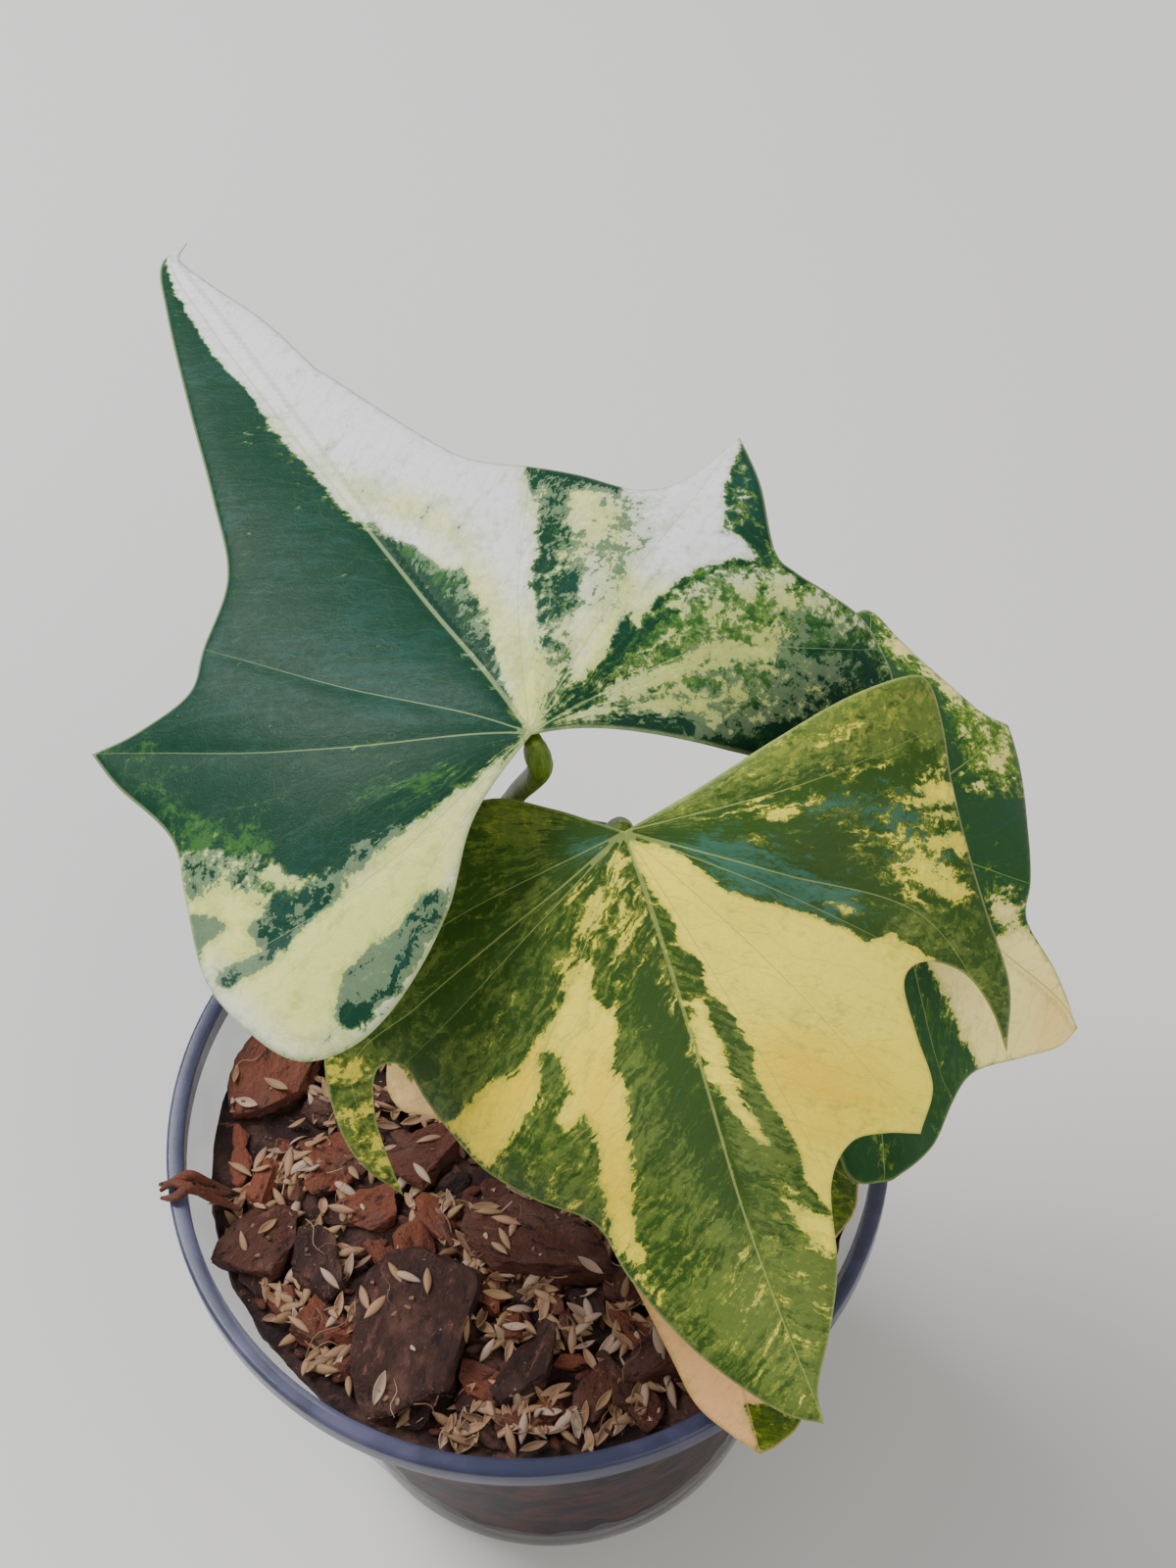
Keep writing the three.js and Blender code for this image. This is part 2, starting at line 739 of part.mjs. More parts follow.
const plant = new THREE.Group();
plant.add(meshOf("pot", makePot(), plastic));
plant.add(meshOf("substrate", makeSubstrate(), bark));
plant.add(meshOf("stem", makeStem(), stemSkin));
for (const [name, leaf] of Object.entries(LEAVES)) {
  const skin = new THREE.MeshStandardMaterial({ color: leaf.colour, roughness: 0.45, metalness: 0 });
  plant.add(meshOf("leaf_" + name, makeBlade(leaf), skin));
  plant.add(meshOf("petiole_" + name, makeStalk(name), stalkSkin));
}

export default plant;
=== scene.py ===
import math
import random

import bmesh
import bpy
import numpy as np
from mathutils import Matrix, Vector, geometry, noise


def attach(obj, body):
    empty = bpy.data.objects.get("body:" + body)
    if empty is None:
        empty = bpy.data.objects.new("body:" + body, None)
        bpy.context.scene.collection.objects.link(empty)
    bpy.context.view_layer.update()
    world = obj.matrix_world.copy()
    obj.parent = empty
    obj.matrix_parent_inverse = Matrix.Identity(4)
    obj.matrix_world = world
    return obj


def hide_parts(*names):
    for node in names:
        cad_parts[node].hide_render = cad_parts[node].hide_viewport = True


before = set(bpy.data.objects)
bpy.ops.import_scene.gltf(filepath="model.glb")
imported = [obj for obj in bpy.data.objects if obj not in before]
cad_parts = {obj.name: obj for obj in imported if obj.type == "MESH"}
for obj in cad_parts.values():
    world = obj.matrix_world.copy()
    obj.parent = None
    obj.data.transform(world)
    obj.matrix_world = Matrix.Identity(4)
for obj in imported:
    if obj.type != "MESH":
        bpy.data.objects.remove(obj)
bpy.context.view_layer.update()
MM = 0.001


# The camera looks steeply down at the plant from above the front of the pot, and leans a little to
# one side.
EYE = (17, -237, 609)
LOOKS_DOWN = 56.5
LEANS = -3.5
LENS = 58.5

camera = bpy.data.objects.new("camera", bpy.data.cameras.new("camera"))
camera.data.lens = LENS
camera.data.clip_start = 10 * MM
camera.matrix_world = (
    Matrix.Translation(Vector(EYE) * MM)
    @ Matrix.Rotation(math.radians(90 - LOOKS_DOWN), 4, "X")
    @ Matrix.Rotation(math.radians(LEANS), 4, "Z")
)
bpy.context.scene.collection.objects.link(camera)
bpy.context.scene.camera = camera


# The studio: a plain pale floor, a broad soft light high behind the plant's left, as from a
# window, a weaker one from the front right, and an even pale surround.
FLOOR_SIZE = 4.0
FLOOR_COLOUR = (0.62, 0.61, 0.59, 1)
FLOOR_MOTTLE = (0.66, 0.65, 0.63, 1)
LIT_SPOT = (0, 0, 0.12)
LIGHTS = [
    ("window", (-0.75, 0.55, 1.35), 0.8, 34, (0.98, 0.98, 1.0)),
    ("front_fill", (0.8, -0.9, 1.0), 1.3, 13, (1.0, 0.96, 0.9)),
]
SURROUND = (0.97, 0.98, 1.0, 1)
SURROUND_STRENGTH = 0.45


def link(material, source, target):
    """Joins two sockets of a material."""
    material.node_tree.links.new(source, target)


def bare_material(name, **values):
    """A material with one Principled shader, its sockets set by name with _ for a space."""
    material = bpy.data.materials.new(name)
    material.use_nodes = True
    shader = material.node_tree.nodes["Principled BSDF"]
    for socket, value in values.items():
        shader.inputs[socket.replace("_", " ")].default_value = value
    return material, shader


def add_node(tree, kind, settings=(), **inputs):
    """A node with its settings and its inputs: a value, or the socket that feeds it."""
    node = tree.nodes.new(kind)
    for name, value in dict(settings).items():
        setattr(node, name, value)
    for name, value in inputs.items():
        socket = node.inputs[int(name[1:]) if name[1:].isdigit() else name.replace("_", " ")]
        if isinstance(value, bpy.types.NodeSocket):
            tree.links.new(value, socket)
        else:
            socket.default_value = value
    return node


def object_place(tree):
    """The place of each point in the part's own frame."""
    return add_node(tree, "ShaderNodeTexCoord").outputs["Object"]


def mark_of(tree, name):
    """The node that reads a mark of the mesh."""
    return add_node(tree, "ShaderNodeAttribute", {"attribute_name": name})


def sum_of(tree, operation, first, second=0.0, third=0.0):
    """The result of one Math node."""
    settings = {"operation": operation}
    return add_node(tree, "ShaderNodeMath", settings, _0=first, _1=second, _2=third).outputs[0]


def step_of(tree, value, low, high):
    """0 below low, 1 above high and smooth between them."""
    settings = {"interpolation_type": "SMOOTHSTEP"}
    node = add_node(tree, "ShaderNodeMapRange", settings, Value=value, From_Min=low, From_Max=high)
    return node.outputs["Result"]


def blend_of(tree, share, first, second):
    """Two colours mixed by a share."""
    node = add_node(tree, "ShaderNodeMix", {"data_type": "RGBA"}, _0=share, _6=first, _7=second)
    return node.outputs[2]


def noise_of(tree, where, scale, detail=3.0, roughness=0.55):
    """Noise from about 0 to 1 over a place."""
    look = {"Scale": scale, "Detail": detail, "Roughness": roughness}
    return add_node(tree, "ShaderNodeTexNoise", Vector=where, **look).outputs[0]


def bumped(material, shader, height, strength, depth):
    """Raises the surface by a height, of 1 at most, times a depth in millimetres."""
    tree = material.node_tree
    bump = add_node(tree, "ShaderNodeBump", Strength=strength, Distance=depth * MM, Height=height)
    link(material, bump.outputs[0], shader.inputs["Normal"])


def mesh_object(name, points, faces, materials):
    """An object at the origin with these points, in metres, and faces."""
    mesh = bpy.data.meshes.new(name)
    mesh.from_pydata([tuple(point) for point in points], [], [tuple(face) for face in faces])
    for material in materials:
        mesh.materials.append(material)
    mesh.validate()
    mesh.update()
    piece = bpy.data.objects.new(name, mesh)
    bpy.context.scene.collection.objects.link(piece)
    return piece


floor_paint, shader = bare_material("floor_paint", Base_Color=FLOOR_COLOUR, Roughness=0.75)
tree = floor_paint.node_tree
place = object_place(tree)
mottle = noise_of(tree, place, 3.0)
link(floor_paint, blend_of(tree, mottle, FLOOR_COLOUR, FLOOR_MOTTLE), shader.inputs["Base Color"])
half = FLOOR_SIZE / 2
corners = [(-half, -half, 0), (half, -half, 0), (half, half, 0), (-half, half, 0)]
mesh_object("floor", corners, [(0, 1, 2, 3)], [floor_paint])

for name, spot, size, power, colour in LIGHTS:
    lamp = bpy.data.lights.new(name, "AREA")
    lamp.size = size
    lamp.energy = power
    lamp.color = colour
    holder = bpy.data.objects.new(name, lamp)
    holder.location = spot
    holder.rotation_euler = (Vector(LIT_SPOT) - Vector(spot)).to_track_quat("-Z", "Y").to_euler()
    bpy.context.scene.collection.objects.link(holder)

surround = bpy.data.worlds.new("surround")
surround.use_nodes = True
surround.node_tree.nodes["Background"].inputs["Color"].default_value = SURROUND
surround.node_tree.nodes["Background"].inputs["Strength"].default_value = SURROUND_STRENGTH
bpy.context.scene.world = surround


# The pot: one thin shell of smoky blue see-through plastic, moulded in one shot. Its wall tapers to
# a flat base with eight drain slots, and its top is rolled outwards into a stiff lip with a skirt.
POT_HEIGHT = 125
RIM_RADIUS = 76
BASE_RADIUS = 52
BODY_RADIUS = 72.5
WALL = 1.2
SKIRT = 6
LIP_ROUND = 0.8
FOOT_ROUND = 1.6
POT_SIDES = 160
DRAIN_COUNT = 8
DRAIN_LENGTH = 13
DRAIN_WIDTH = 4
DRAIN_RADIUS = 38
BODY_DEEP = (0.02, 0.018, 0.03, 1)
BODY_LIGHT = (0.05, 0.045, 0.065, 1)
LIP_DEEP = (0.035, 0.04, 0.08, 1)
LIP_LIGHT = (0.075, 0.075, 0.14, 1)


def smoky_plastic(name, deep, light, least, gloss):
    """Smoky see-through plastic: two tints in soft clouds, its least cover and its gloss."""
    plastic, shader = bare_material(name, IOR=1.45, Specular_IOR_Level=gloss)
    tree = plastic.node_tree
    place = object_place(tree)
    haze = noise_of(tree, place, 60.0)
    round_it = add_node(tree, "ShaderNodeMapping", Vector=place, Scale=(1, 1, 6)).outputs[0]
    scuffs = noise_of(tree, round_it, 90.0)
    link(plastic, sum_of(tree, "MULTIPLY_ADD", haze, 0.2, 0.12), shader.inputs["Roughness"])
    link(plastic, blend_of(tree, step_of(tree, haze, 0.4, 0.7), deep, light), shader.inputs["Base Color"])
    link(plastic, sum_of(tree, "MULTIPLY_ADD", haze, 0.2, least), shader.inputs["Alpha"])
    bumped(plastic, shader, scuffs, 0.12, 0.4)
    return plastic


pot_plastic = smoky_plastic("pot_plastic", BODY_DEEP, BODY_LIGHT, 0.16, 0.03)
lip_plastic = smoky_plastic("lip_plastic", LIP_DEEP, LIP_LIGHT, 0.75, 0.3)


def wall_radius(height):
    """The outside radius of the tapered wall at a height."""
    share = (height - FOOT_ROUND) / (POT_HEIGHT - SKIRT - FOOT_ROUND)
    return BASE_RADIUS + (BODY_RADIUS - BASE_RADIUS) * share


def rounded(corner, before, after, radius, steps=4):
    """The points of a small arc that cuts a corner of a profile."""
    corner, before, after = Vector(corner), Vector(before), Vector(after)
    start = corner + (before - corner).normalized() * radius
    end = corner + (after - corner).normalized() * radius
    shares = [i / steps for i in range(steps + 1)]
    return [(start * (1 - s) ** 2 + corner * (2 * s * (1 - s)) + end * s * s)[:] for s in shares]


def turned(profile, sides):
    """A closed shape, in metres: a profile of (radius, height) pairs turned once round and capped."""
    points = []
    for radius, height in profile:
        for side in range(sides):
            turn = 2 * math.pi * side / sides
            points.append((radius * math.cos(turn) * MM, radius * math.sin(turn) * MM, height * MM))
    faces = []
    for row in range(len(profile) - 1):
        for side in range(sides):
            following = (side + 1) % sides
            a, b = row * sides + side, row * sides + following
            faces.append((a, b, b + sides, a + sides))
    faces.append(tuple(reversed(range(sides))))
    faces.append(tuple(range(len(points) - sides, len(points))))
    return points, faces


def pot_profile():
    """The shell's section from the middle of the base up the outside, over the lip and back down."""
    rim_foot = POT_HEIGHT - SKIRT
    rim_inside = RIM_RADIUS - WALL
    wall_inside = wall_radius(POT_HEIGHT) - WALL
    under_lip = (wall_radius(POT_HEIGHT - WALL), POT_HEIGHT - WALL)
    outer_foot = (BASE_RADIUS, 0)
    profile = [(0.5, 0), (12, 0), (24, 0)]
    profile += rounded(outer_foot, (0, 0), (wall_radius(FOOT_ROUND + 9), FOOT_ROUND + 9), FOOT_ROUND)
    profile += [(wall_radius(height), height) for height in range(8, int(rim_foot), 12)]
    profile += [(wall_radius(rim_foot), rim_foot), under_lip]
    lip_corner = (rim_inside, POT_HEIGHT - WALL)
    profile += rounded(lip_corner, under_lip, (rim_inside, rim_foot), 0.6 * LIP_ROUND)
    skirt_outside = (RIM_RADIUS, rim_foot)
    profile += rounded((rim_inside, rim_foot), (rim_inside, POT_HEIGHT), skirt_outside, 0.25)
    profile += rounded(skirt_outside, (rim_inside, rim_foot), (RIM_RADIUS, POT_HEIGHT), 0.25)
    lip_inside = (wall_inside, POT_HEIGHT)
    profile += rounded((RIM_RADIUS, POT_HEIGHT), skirt_outside, lip_inside, 1.4 * LIP_ROUND, 6)
    profile += rounded(lip_inside, (RIM_RADIUS, POT_HEIGHT), (wall_radius(100) - WALL, 100), LIP_ROUND)
    profile += [(wall_radius(height) - WALL, height) for height in range(104, 4, -12)]
    profile += [(BASE_RADIUS - FOOT_ROUND - WALL / 2, WALL), (24, WALL), (12, WALL), (0.5, WALL)]
    return profile


pot = mesh_object("clear_pot", *turned(pot_profile(), POT_SIDES), [pot_plastic, lip_plastic])

slot_points = []
slot_faces = []
reach = (DRAIN_LENGTH - DRAIN_WIDTH) / 2
bend = [math.radians(-90 + 180 * i / 8) for i in range(9)]
outline = [(reach + DRAIN_WIDTH / 2 * math.cos(a), DRAIN_WIDTH / 2 * math.sin(a)) for a in bend]
outline += [(-x, -y) for x, y in outline]
for i in range(DRAIN_COUNT):
    turn = Matrix.Rotation(2 * math.pi * i / DRAIN_COUNT, 3, "Z")
    first = len(slot_points)
    for height in (-WALL, 3 * WALL):
        slot_points += [turn @ Vector((DRAIN_RADIUS + x, y, height)) * MM for x, y in outline]
    count = len(outline)
    slot_faces.append(tuple(first + k for k in reversed(range(count))))
    slot_faces.append(tuple(first + count + k for k in range(count)))
    for k in range(count):
        a, b = first + k, first + (k + 1) % count
        slot_faces.append((a, b, b + count, a + count))
slots = mesh_object("drain_cutters", slot_points, slot_faces, [])
cut = pot.modifiers.new("drains", "BOOLEAN")
cut.object = slots
cut.solver = "EXACT"
cut_mesh = bpy.data.meshes.new_from_object(pot.evaluated_get(bpy.context.evaluated_depsgraph_get()))
pot.modifiers.clear()
pot.data = cut_mesh
bpy.data.objects.remove(slots)
for face in pot.data.polygons:
    face.material_index = 1 if face.center.z > (POT_HEIGHT - SKIRT - 0.5) * MM else 0
pot.data.shade_smooth()
pot.data.set_sharp_from_angle(angle=math.radians(40))
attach(pot, "root")
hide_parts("pot")


# The bark mix: red-brown bark and coir chips with tan rice husks and a few coir threads, poured in
# loose. One lumpy bed fills the pot, and the chips, husks and threads lie on it, sunk a little.
FILL_EDGE = 111
FILL_CROWN = 114
BED_GAP = 0.35
BED_SIDES = 220
STEM_SPOT = (-6, 26)
# The darkest bark colour: the tint of dark chips, and also painted shade on the bed's top in the gaps
# between the chips.
BARK_DARK_AND_GAP_SHADE = (0.022, 0.008, 0.006, 1)
BARK_RED = (0.19, 0.052, 0.025, 1)
BARK_PATCH = (0.11, 0.048, 0.034, 1)
BARK_GRAIN = (0.25, 0.105, 0.065, 1)
BARK_CRACK = (0.014, 0.006, 0.005, 1)
BARK_PORE = (0.38, 0.23, 0.17, 1)
HUSK_TAN = (0.27, 0.155, 0.07, 1)
HUSK_RED = (0.34, 0.19, 0.11, 1)
HUSK_PALE = (0.42, 0.30, 0.23, 1)
HUSK_BROWN = (0.16, 0.085, 0.045, 1)
HUSK_SPECK = (0.22, 0.13, 0.07, 1)
# Each large chip: its place across and away, its turn in degrees, its length, width and depth.
LARGE_CHIPS = [
    (-24, -40, 70, 33, 24, 12),
    (-45, -24, 80, 15, 12, 9),
    (-57, -21, 40, 19, 14, 9),
    (-22, -2, 15, 16, 12, 9),
    (2, -23, -20, 27, 17, 10),
    (-2, -50, 55, 17, 12, 9),
    (-52, 22, 60, 26, 18, 9),
    (59, -17, 60, 18, 12, 10),
    (-34, -12, 20, 13, 10, 7),
    (24, -50, 30, 16, 12, 8),
    (30, 44, 10, 24, 16, 9),
    (-30, 48, 130, 22, 15, 9),
]

bark, shader = bare_material("bark", Specular_IOR_Level=0.35)
tree = bark.node_tree
place = object_place(tree)
tint = mark_of(tree, "tint").outputs["Fac"]
grain_place = mark_of(tree, "grain").outputs["Vector"]
stretched = add_node(tree, "ShaderNodeMapping", Vector=grain_place, Scale=(0.6, 1.7, 1.7)).outputs[0]
patches = noise_of(tree, place, 130.0, 4.0)
grain = noise_of(tree, stretched, 260.0, 6.0, 0.7)
pores = noise_of(tree, place, 900.0, 4.0, 0.7)
shade = blend_of(tree, step_of(tree, tint, 0.1, 0.9), BARK_DARK_AND_GAP_SHADE, BARK_RED)
shade = blend_of(tree, step_of(tree, patches, 0.45, 0.72), shade, BARK_PATCH)
light_grain = sum_of(tree, "MULTIPLY", step_of(tree, grain, 0.55, 0.72), 0.7)
shade = blend_of(tree, light_grain, shade, BARK_GRAIN)
shade = blend_of(tree, step_of(tree, grain, 0.45, 0.36), shade, BARK_CRACK)
shade = blend_of(tree, step_of(tree, pores, 0.64, 0.74), shade, BARK_PORE)
link(bark, shade, shader.inputs["Base Color"])
link(bark, sum_of(tree, "MULTIPLY_ADD", patches, 0.4, 0.45), shader.inputs["Roughness"])
rough = sum_of(tree, "ADD", grain, sum_of(tree, "MULTIPLY", pores, 0.9))
bumped(bark, shader, rough, 1.0, 1.1)

husk_skin, shader = bare_material("husk_skin", Roughness=0.7)
tree = husk_skin.node_tree
place = object_place(tree)
tint = mark_of(tree, "tint").outputs["Fac"]
speck = noise_of(tree, place, 900.0, 3.0)
shade = blend_of(tree, step_of(tree, tint, 0.35, 0.5), HUSK_TAN, HUSK_RED)
shade = blend_of(tree, step_of(tree, tint, 0.78, 0.84), shade, HUSK_PALE)
shade = blend_of(tree, step_of(tree, tint, 0.12, 0.05), shade, HUSK_BROWN)
shade = blend_of(tree, sum_of(tree, "MULTIPLY", speck, 0.6), shade, HUSK_SPECK)
link(husk_skin, shade, shader.inputs["Base Color"])
bumped(husk_skin, shader, speck, 0.4, 0.2)


def lumps(x, y, z, size):
    """Noise from about -1 to 1 with lumps of a size in millimetres."""
    return noise.noise(Vector((x, y, z)) / size)


def fill_height(radius):
    """The height of the fill at a radius, a little higher in the middle."""
    share = radius / wall_radius(FILL_EDGE)
    return FILL_CROWN + (FILL_EDGE - FILL_CROWN) * share * share


def bed_rows():
    """The bed's rows of (radius, height), from the middle of its foot up the wall to its crown."""
    rows = [(1, WALL + BED_GAP), (20, WALL + BED_GAP), (BASE_RADIUS - 5.5, WALL + BED_GAP)]
    rows += [(wall_radius(height) - WALL - BED_GAP, height) for height in range(6, FILL_EDGE + 1, 2)]
    edge = rows[-1][0]
    rows += [(edge - step, fill_height(edge - step)) for step in range(1, int(edge) - 1, 2)]
    return rows


rows = bed_rows()
bed_points, bed_faces = turned(rows, BED_SIDES)
shaped = []
for i, (x, y, z) in enumerate(bed_points):
    radius, height = rows[i // BED_SIDES]
    at = (x / MM, y / MM, z / MM)
    on_top = height >= fill_height(radius) - 0.01
    pit = 0.5 + 0.5 * lumps(*at, 7) + 0.25 * lumps(*at, 2.5)
    if on_top:
        height += 1.1 - 2.6 * max(0, pit)
        pull = 1
    else:
        pull = 1 - 1.6 * max(0, pit) / radius if height > 4 else 1
    shaped.append((x * pull, y * pull, height * MM))
bed = mesh_object("bed", shaped, bed_faces, [bark])


def bark_chip(spot, turn, tilt, size, seed, detail):
    """One chunk of bark: a ball cut by flat breaks, flattened and roughened. Its points, in metres,
    its faces, and each point's place along its own grain."""
    pick = random.Random(seed)
    shape = bmesh.new()
    bmesh.ops.create_icosphere(shape, subdivisions=detail, radius=0.5)
    breaks = [(Vector((0, 0, 1)), pick.uniform(0.26, 0.34)), (Vector((0, 0, -1)), 0.32)]
    for _ in range(CHIP_BREAKS):
        facing = Vector((pick.gauss(0, 1), pick.gauss(0, 1), pick.gauss(0, 0.45))).normalized()
        breaks.append((facing, pick.uniform(0.24, 0.42)))
    pose = Matrix.Rotation(turn, 3, "Z") @ Matrix.Rotation(tilt, 3, (1, pick.uniform(-0.6, 0.6), 0))
    points = []
    grains = []
    for vert in shape.verts:
        point = vert.co.copy()
        for facing, depth in breaks:
            over = point.dot(facing) - depth
            if over > 0:
                point -= facing * over * 0.97
        point = Vector((point.x * size[0], point.y * size[1], point.z * size[2])) * 1.3
        rough = 0.75 * lumps(point.x * 0.5 + seed, point.y, point.z, 2.6)
        rough += 0.45 * lumps(point.x * 0.5, point.y + seed, point.z, 0.9)
        point += vert.co.normalized() * rough * min(1, size[0] / 12)
        grains.append((point + Vector((37 * seed, 0, 0))) * MM)
        points.append((pose @ point + Vector(spot)) * MM)
    faces = [[vert.index for vert in face.verts] for face in shape.faces]
    shape.free()
    return points, faces, grains


CHIP_COUNT = 190
CHIP_SHORTEST = 5
CHIP_LONGEST = 15
CHIP_REACH = 67
STEM_CLEAR = 10
CHIP_TILT = 0.55
CHIP_OVERLAP = 0.33
CHIP_BREAKS = 7
FINE_CHIP = 9.5


def all_chips():
    """The large chips where they lie, and the rest by a seeded rule: points, faces, grains, tints."""
    pick = random.Random(7)
    points = []
    faces = []
    grains = []
    tints = []
    placed = []

    def add(spot, turn, tilt, size, detail, tint):
        """Adds one chip to the others."""
        chip_points, chip_faces, chip_grains = bark_chip(spot, turn, tilt, size, len(placed), detail)
        faces.extend([tuple(len(points) + k for k in face) for face in chip_faces])
        points.extend(chip_points)
        grains.extend(chip_grains)
        tints.extend([tint] * len(chip_points))
        placed.append((spot[0], spot[1], size[0]))

    for x, y, turn, length, width, depth in LARGE_CHIPS:
        height = fill_height(math.hypot(x, y)) + 0.08 * depth
        size = (length, width, depth)
        add((x, y, height), math.radians(turn), pick.uniform(-0.2, 0.2), size, 5, pick.uniform(0.15, 0.8))
    while len(placed) < CHIP_COUNT:
        length = pick.triangular(CHIP_SHORTEST, CHIP_LONGEST, CHIP_SHORTEST + 2)
        around = pick.uniform(0, 2 * math.pi)
        out = CHIP_REACH * math.sqrt(pick.random())
        x, y = out * math.cos(around), out * math.sin(around)
        if out + 0.5 * length > CHIP_REACH + 1:
            continue
        if math.hypot(x - STEM_SPOT[0], y - STEM_SPOT[1]) < STEM_CLEAR + 0.5 * length:
            continue
        if any(math.hypot(x - a, y - b) < CHIP_OVERLAP * (length + size) for a, b, size in placed):
            if pick.random() < 0.93:
                continue
        depth = length * pick.uniform(0.3, 0.5)
        height = fill_height(out) + 0.1 * depth + pick.uniform(-0.5, 1.0)
        size = (length, length * pick.uniform(0.5, 0.8), depth)
        tilt = pick.uniform(-CHIP_TILT, CHIP_TILT)
        detail = 4 if length > FINE_CHIP else 3
        add((x, y, height), pick.uniform(0, 6.3), tilt, size, detail, pick.random())
    return points, faces, grains, tints


def mark_grain(piece, places, tints):
    """Gives each point its place along the grain of its own chip, and its chip's tint."""
    layer = piece.data.attributes.new("grain", "FLOAT_VECTOR", "POINT")
    layer.data.foreach_set("vector", np.array(places, dtype=np.float32).ravel())
    layer = piece.data.attributes.new("tint", "FLOAT", "POINT")
    layer.data.foreach_set("value", np.array(tints, dtype=np.float32))


chip_points, chip_faces, chip_grains, chip_tints = all_chips()
chips = mesh_object("chips", chip_points, chip_faces, [bark])
mark_grain(chips, chip_grains, chip_tints)
# The bed's sides, seen through the wall, take a patchy bark tint; its top takes tint 0, the darkest bark
# colour, as painted shade in the gaps between the chips.
side_tints = [0.5 + 1.2 * lumps(x / MM, y / MM, z / MM, 9) for x, y, z in shaped]
on_side = [z < (FILL_EDGE - 3) * MM for _, _, z in shaped]
mark_grain(bed, shaped, [tint if side else 0.0 for tint, side in zip(side_tints, on_side)])


# The husks: thin boat-shaped shells of rice grains, split from them in a mill, ridged along the back
# and pointed at both ends. Half of them lie on their backs and show their hollow.
HUSK_LENGTH = 7.4
HUSK_WIDTH = 2.3
HUSK_DEPTH = 0.75
HUSK_WALL = 0.22
HUSK_STEPS = 8


def husk_mesh(upside):
    """One husk, its back up where upside is 1 and down where it is -1."""
    outer = [math.radians(180 * k / 5) for k in range(6)]
    section = [(math.cos(a), math.sin(a) * (1 + 0.12 * (k % 2)), 0) for k, a in enumerate(outer)]
    section += [(math.cos(a), math.sin(a), HUSK_WALL) for a in reversed(outer)]
    count = len(section)
    points = []
    for i in range(HUSK_STEPS + 1):
        share = i / HUSK_STEPS
        swell = math.sin(math.pi * share) ** 0.8 if 0 < share < 1 else 0.08
        bow = 0.7 * (share - 0.5) ** 2
        for across, up, wall in section:
            y = across * max(0.5 * HUSK_WIDTH * swell - wall, 0.02)
            z = up * max(HUSK_DEPTH * swell - wall, 0.02) - bow
            points.append((HUSK_LENGTH * (share - 0.5) * MM, y * upside * MM, z * upside * MM))
    faces = []
    for i in range(HUSK_STEPS):
        for side in range(count):
            a, b = i * count + side, i * count + (side + 1) % count
            faces.append((a, a + count, b + count, b))
    faces.append(tuple(range(count)))
    faces.append(tuple(HUSK_STEPS * count + k for k in reversed(range(count))))
    return points, faces


husk = mesh_object("husk", *husk_mesh(1), [husk_skin])
split_husk = mesh_object("split_husk", *husk_mesh(-1), [husk_skin])

# The threads and grains: short curly coir threads, torn loose from the chips as they were handled,
# and small pale grains of perlite and dust that settled between the pieces.
THREAD_LENGTH = 16
THREAD_RADIUS = 0.16
THREAD_BROWN = (0.20, 0.10, 0.05, 1)
THREAD_PALE = (0.52, 0.40, 0.28, 1)
THREAD_SPECK = (0.12, 0.06, 0.03, 1)
GRAIN_SIZE = (1.7, 1.2, 0.9)
CRUMB_SIZE = (5.0, 2.8, 2.0)

thread_skin, shader = bare_material("thread_skin", Roughness=0.8)
tree = thread_skin.node_tree
place = object_place(tree)
tint = mark_of(tree, "tint").outputs["Fac"]
speck = noise_of(tree, place, 1200.0, 3.0)
shade = blend_of(tree, step_of(tree, tint, 0.4, 0.9), THREAD_BROWN, THREAD_PALE)
shade = blend_of(tree, sum_of(tree, "MULTIPLY", speck, 0.5), shade, THREAD_SPECK)
link(thread_skin, shade, shader.inputs["Base Color"])
bumped(thread_skin, shader, speck, 0.3, 0.1)


def smooth_path(points, count):
    """Evenly spaced points on a centripetal curve through the points, and the share of each."""
    points = [Vector(point) for point in points]
    guides = [2 * points[0] - points[1], *points, 2 * points[-1] - points[-2]]
    dense = []
    for i in range(len(points) - 1):
        p = guides[i : i + 4]
        t = [0.0]
        for k in range(3):
            t.append(t[-1] + max((p[k + 1] - p[k]).length, 1e-6) ** 0.5)

        def mix(a, b, low, high):
            """The point between two, at the share that s has of the way from low to high."""
            return a * ((high - s) / (high - low)) + b * ((s - low) / (high - low))

        for step in range(24):
            s = t[1] + (t[2] - t[1]) * step / 24
            a1, a2, a3 = (mix(p[k], p[k + 1], t[k], t[k + 1]) for k in range(3))
            b1, b2 = mix(a1, a2, t[0], t[2]), mix(a2, a3, t[1], t[3])
            dense.append((mix(b1, b2, t[1], t[2]), i + step / 24))
    dense.append((points[-1], len(points) - 1.0))
    walked = np.cumsum([0.0] + [(dense[i + 1][0] - dense[i][0]).length for i in range(len(dense) - 1)])
    even = np.linspace(0, walked[-1], count)
    line = np.stack([np.interp(even, walked, [point[axis] for point, _ in dense]) for axis in range(3)], 1)
    return [Vector(point) for point in line], np.interp(even, walked, [share for _, share in dense])


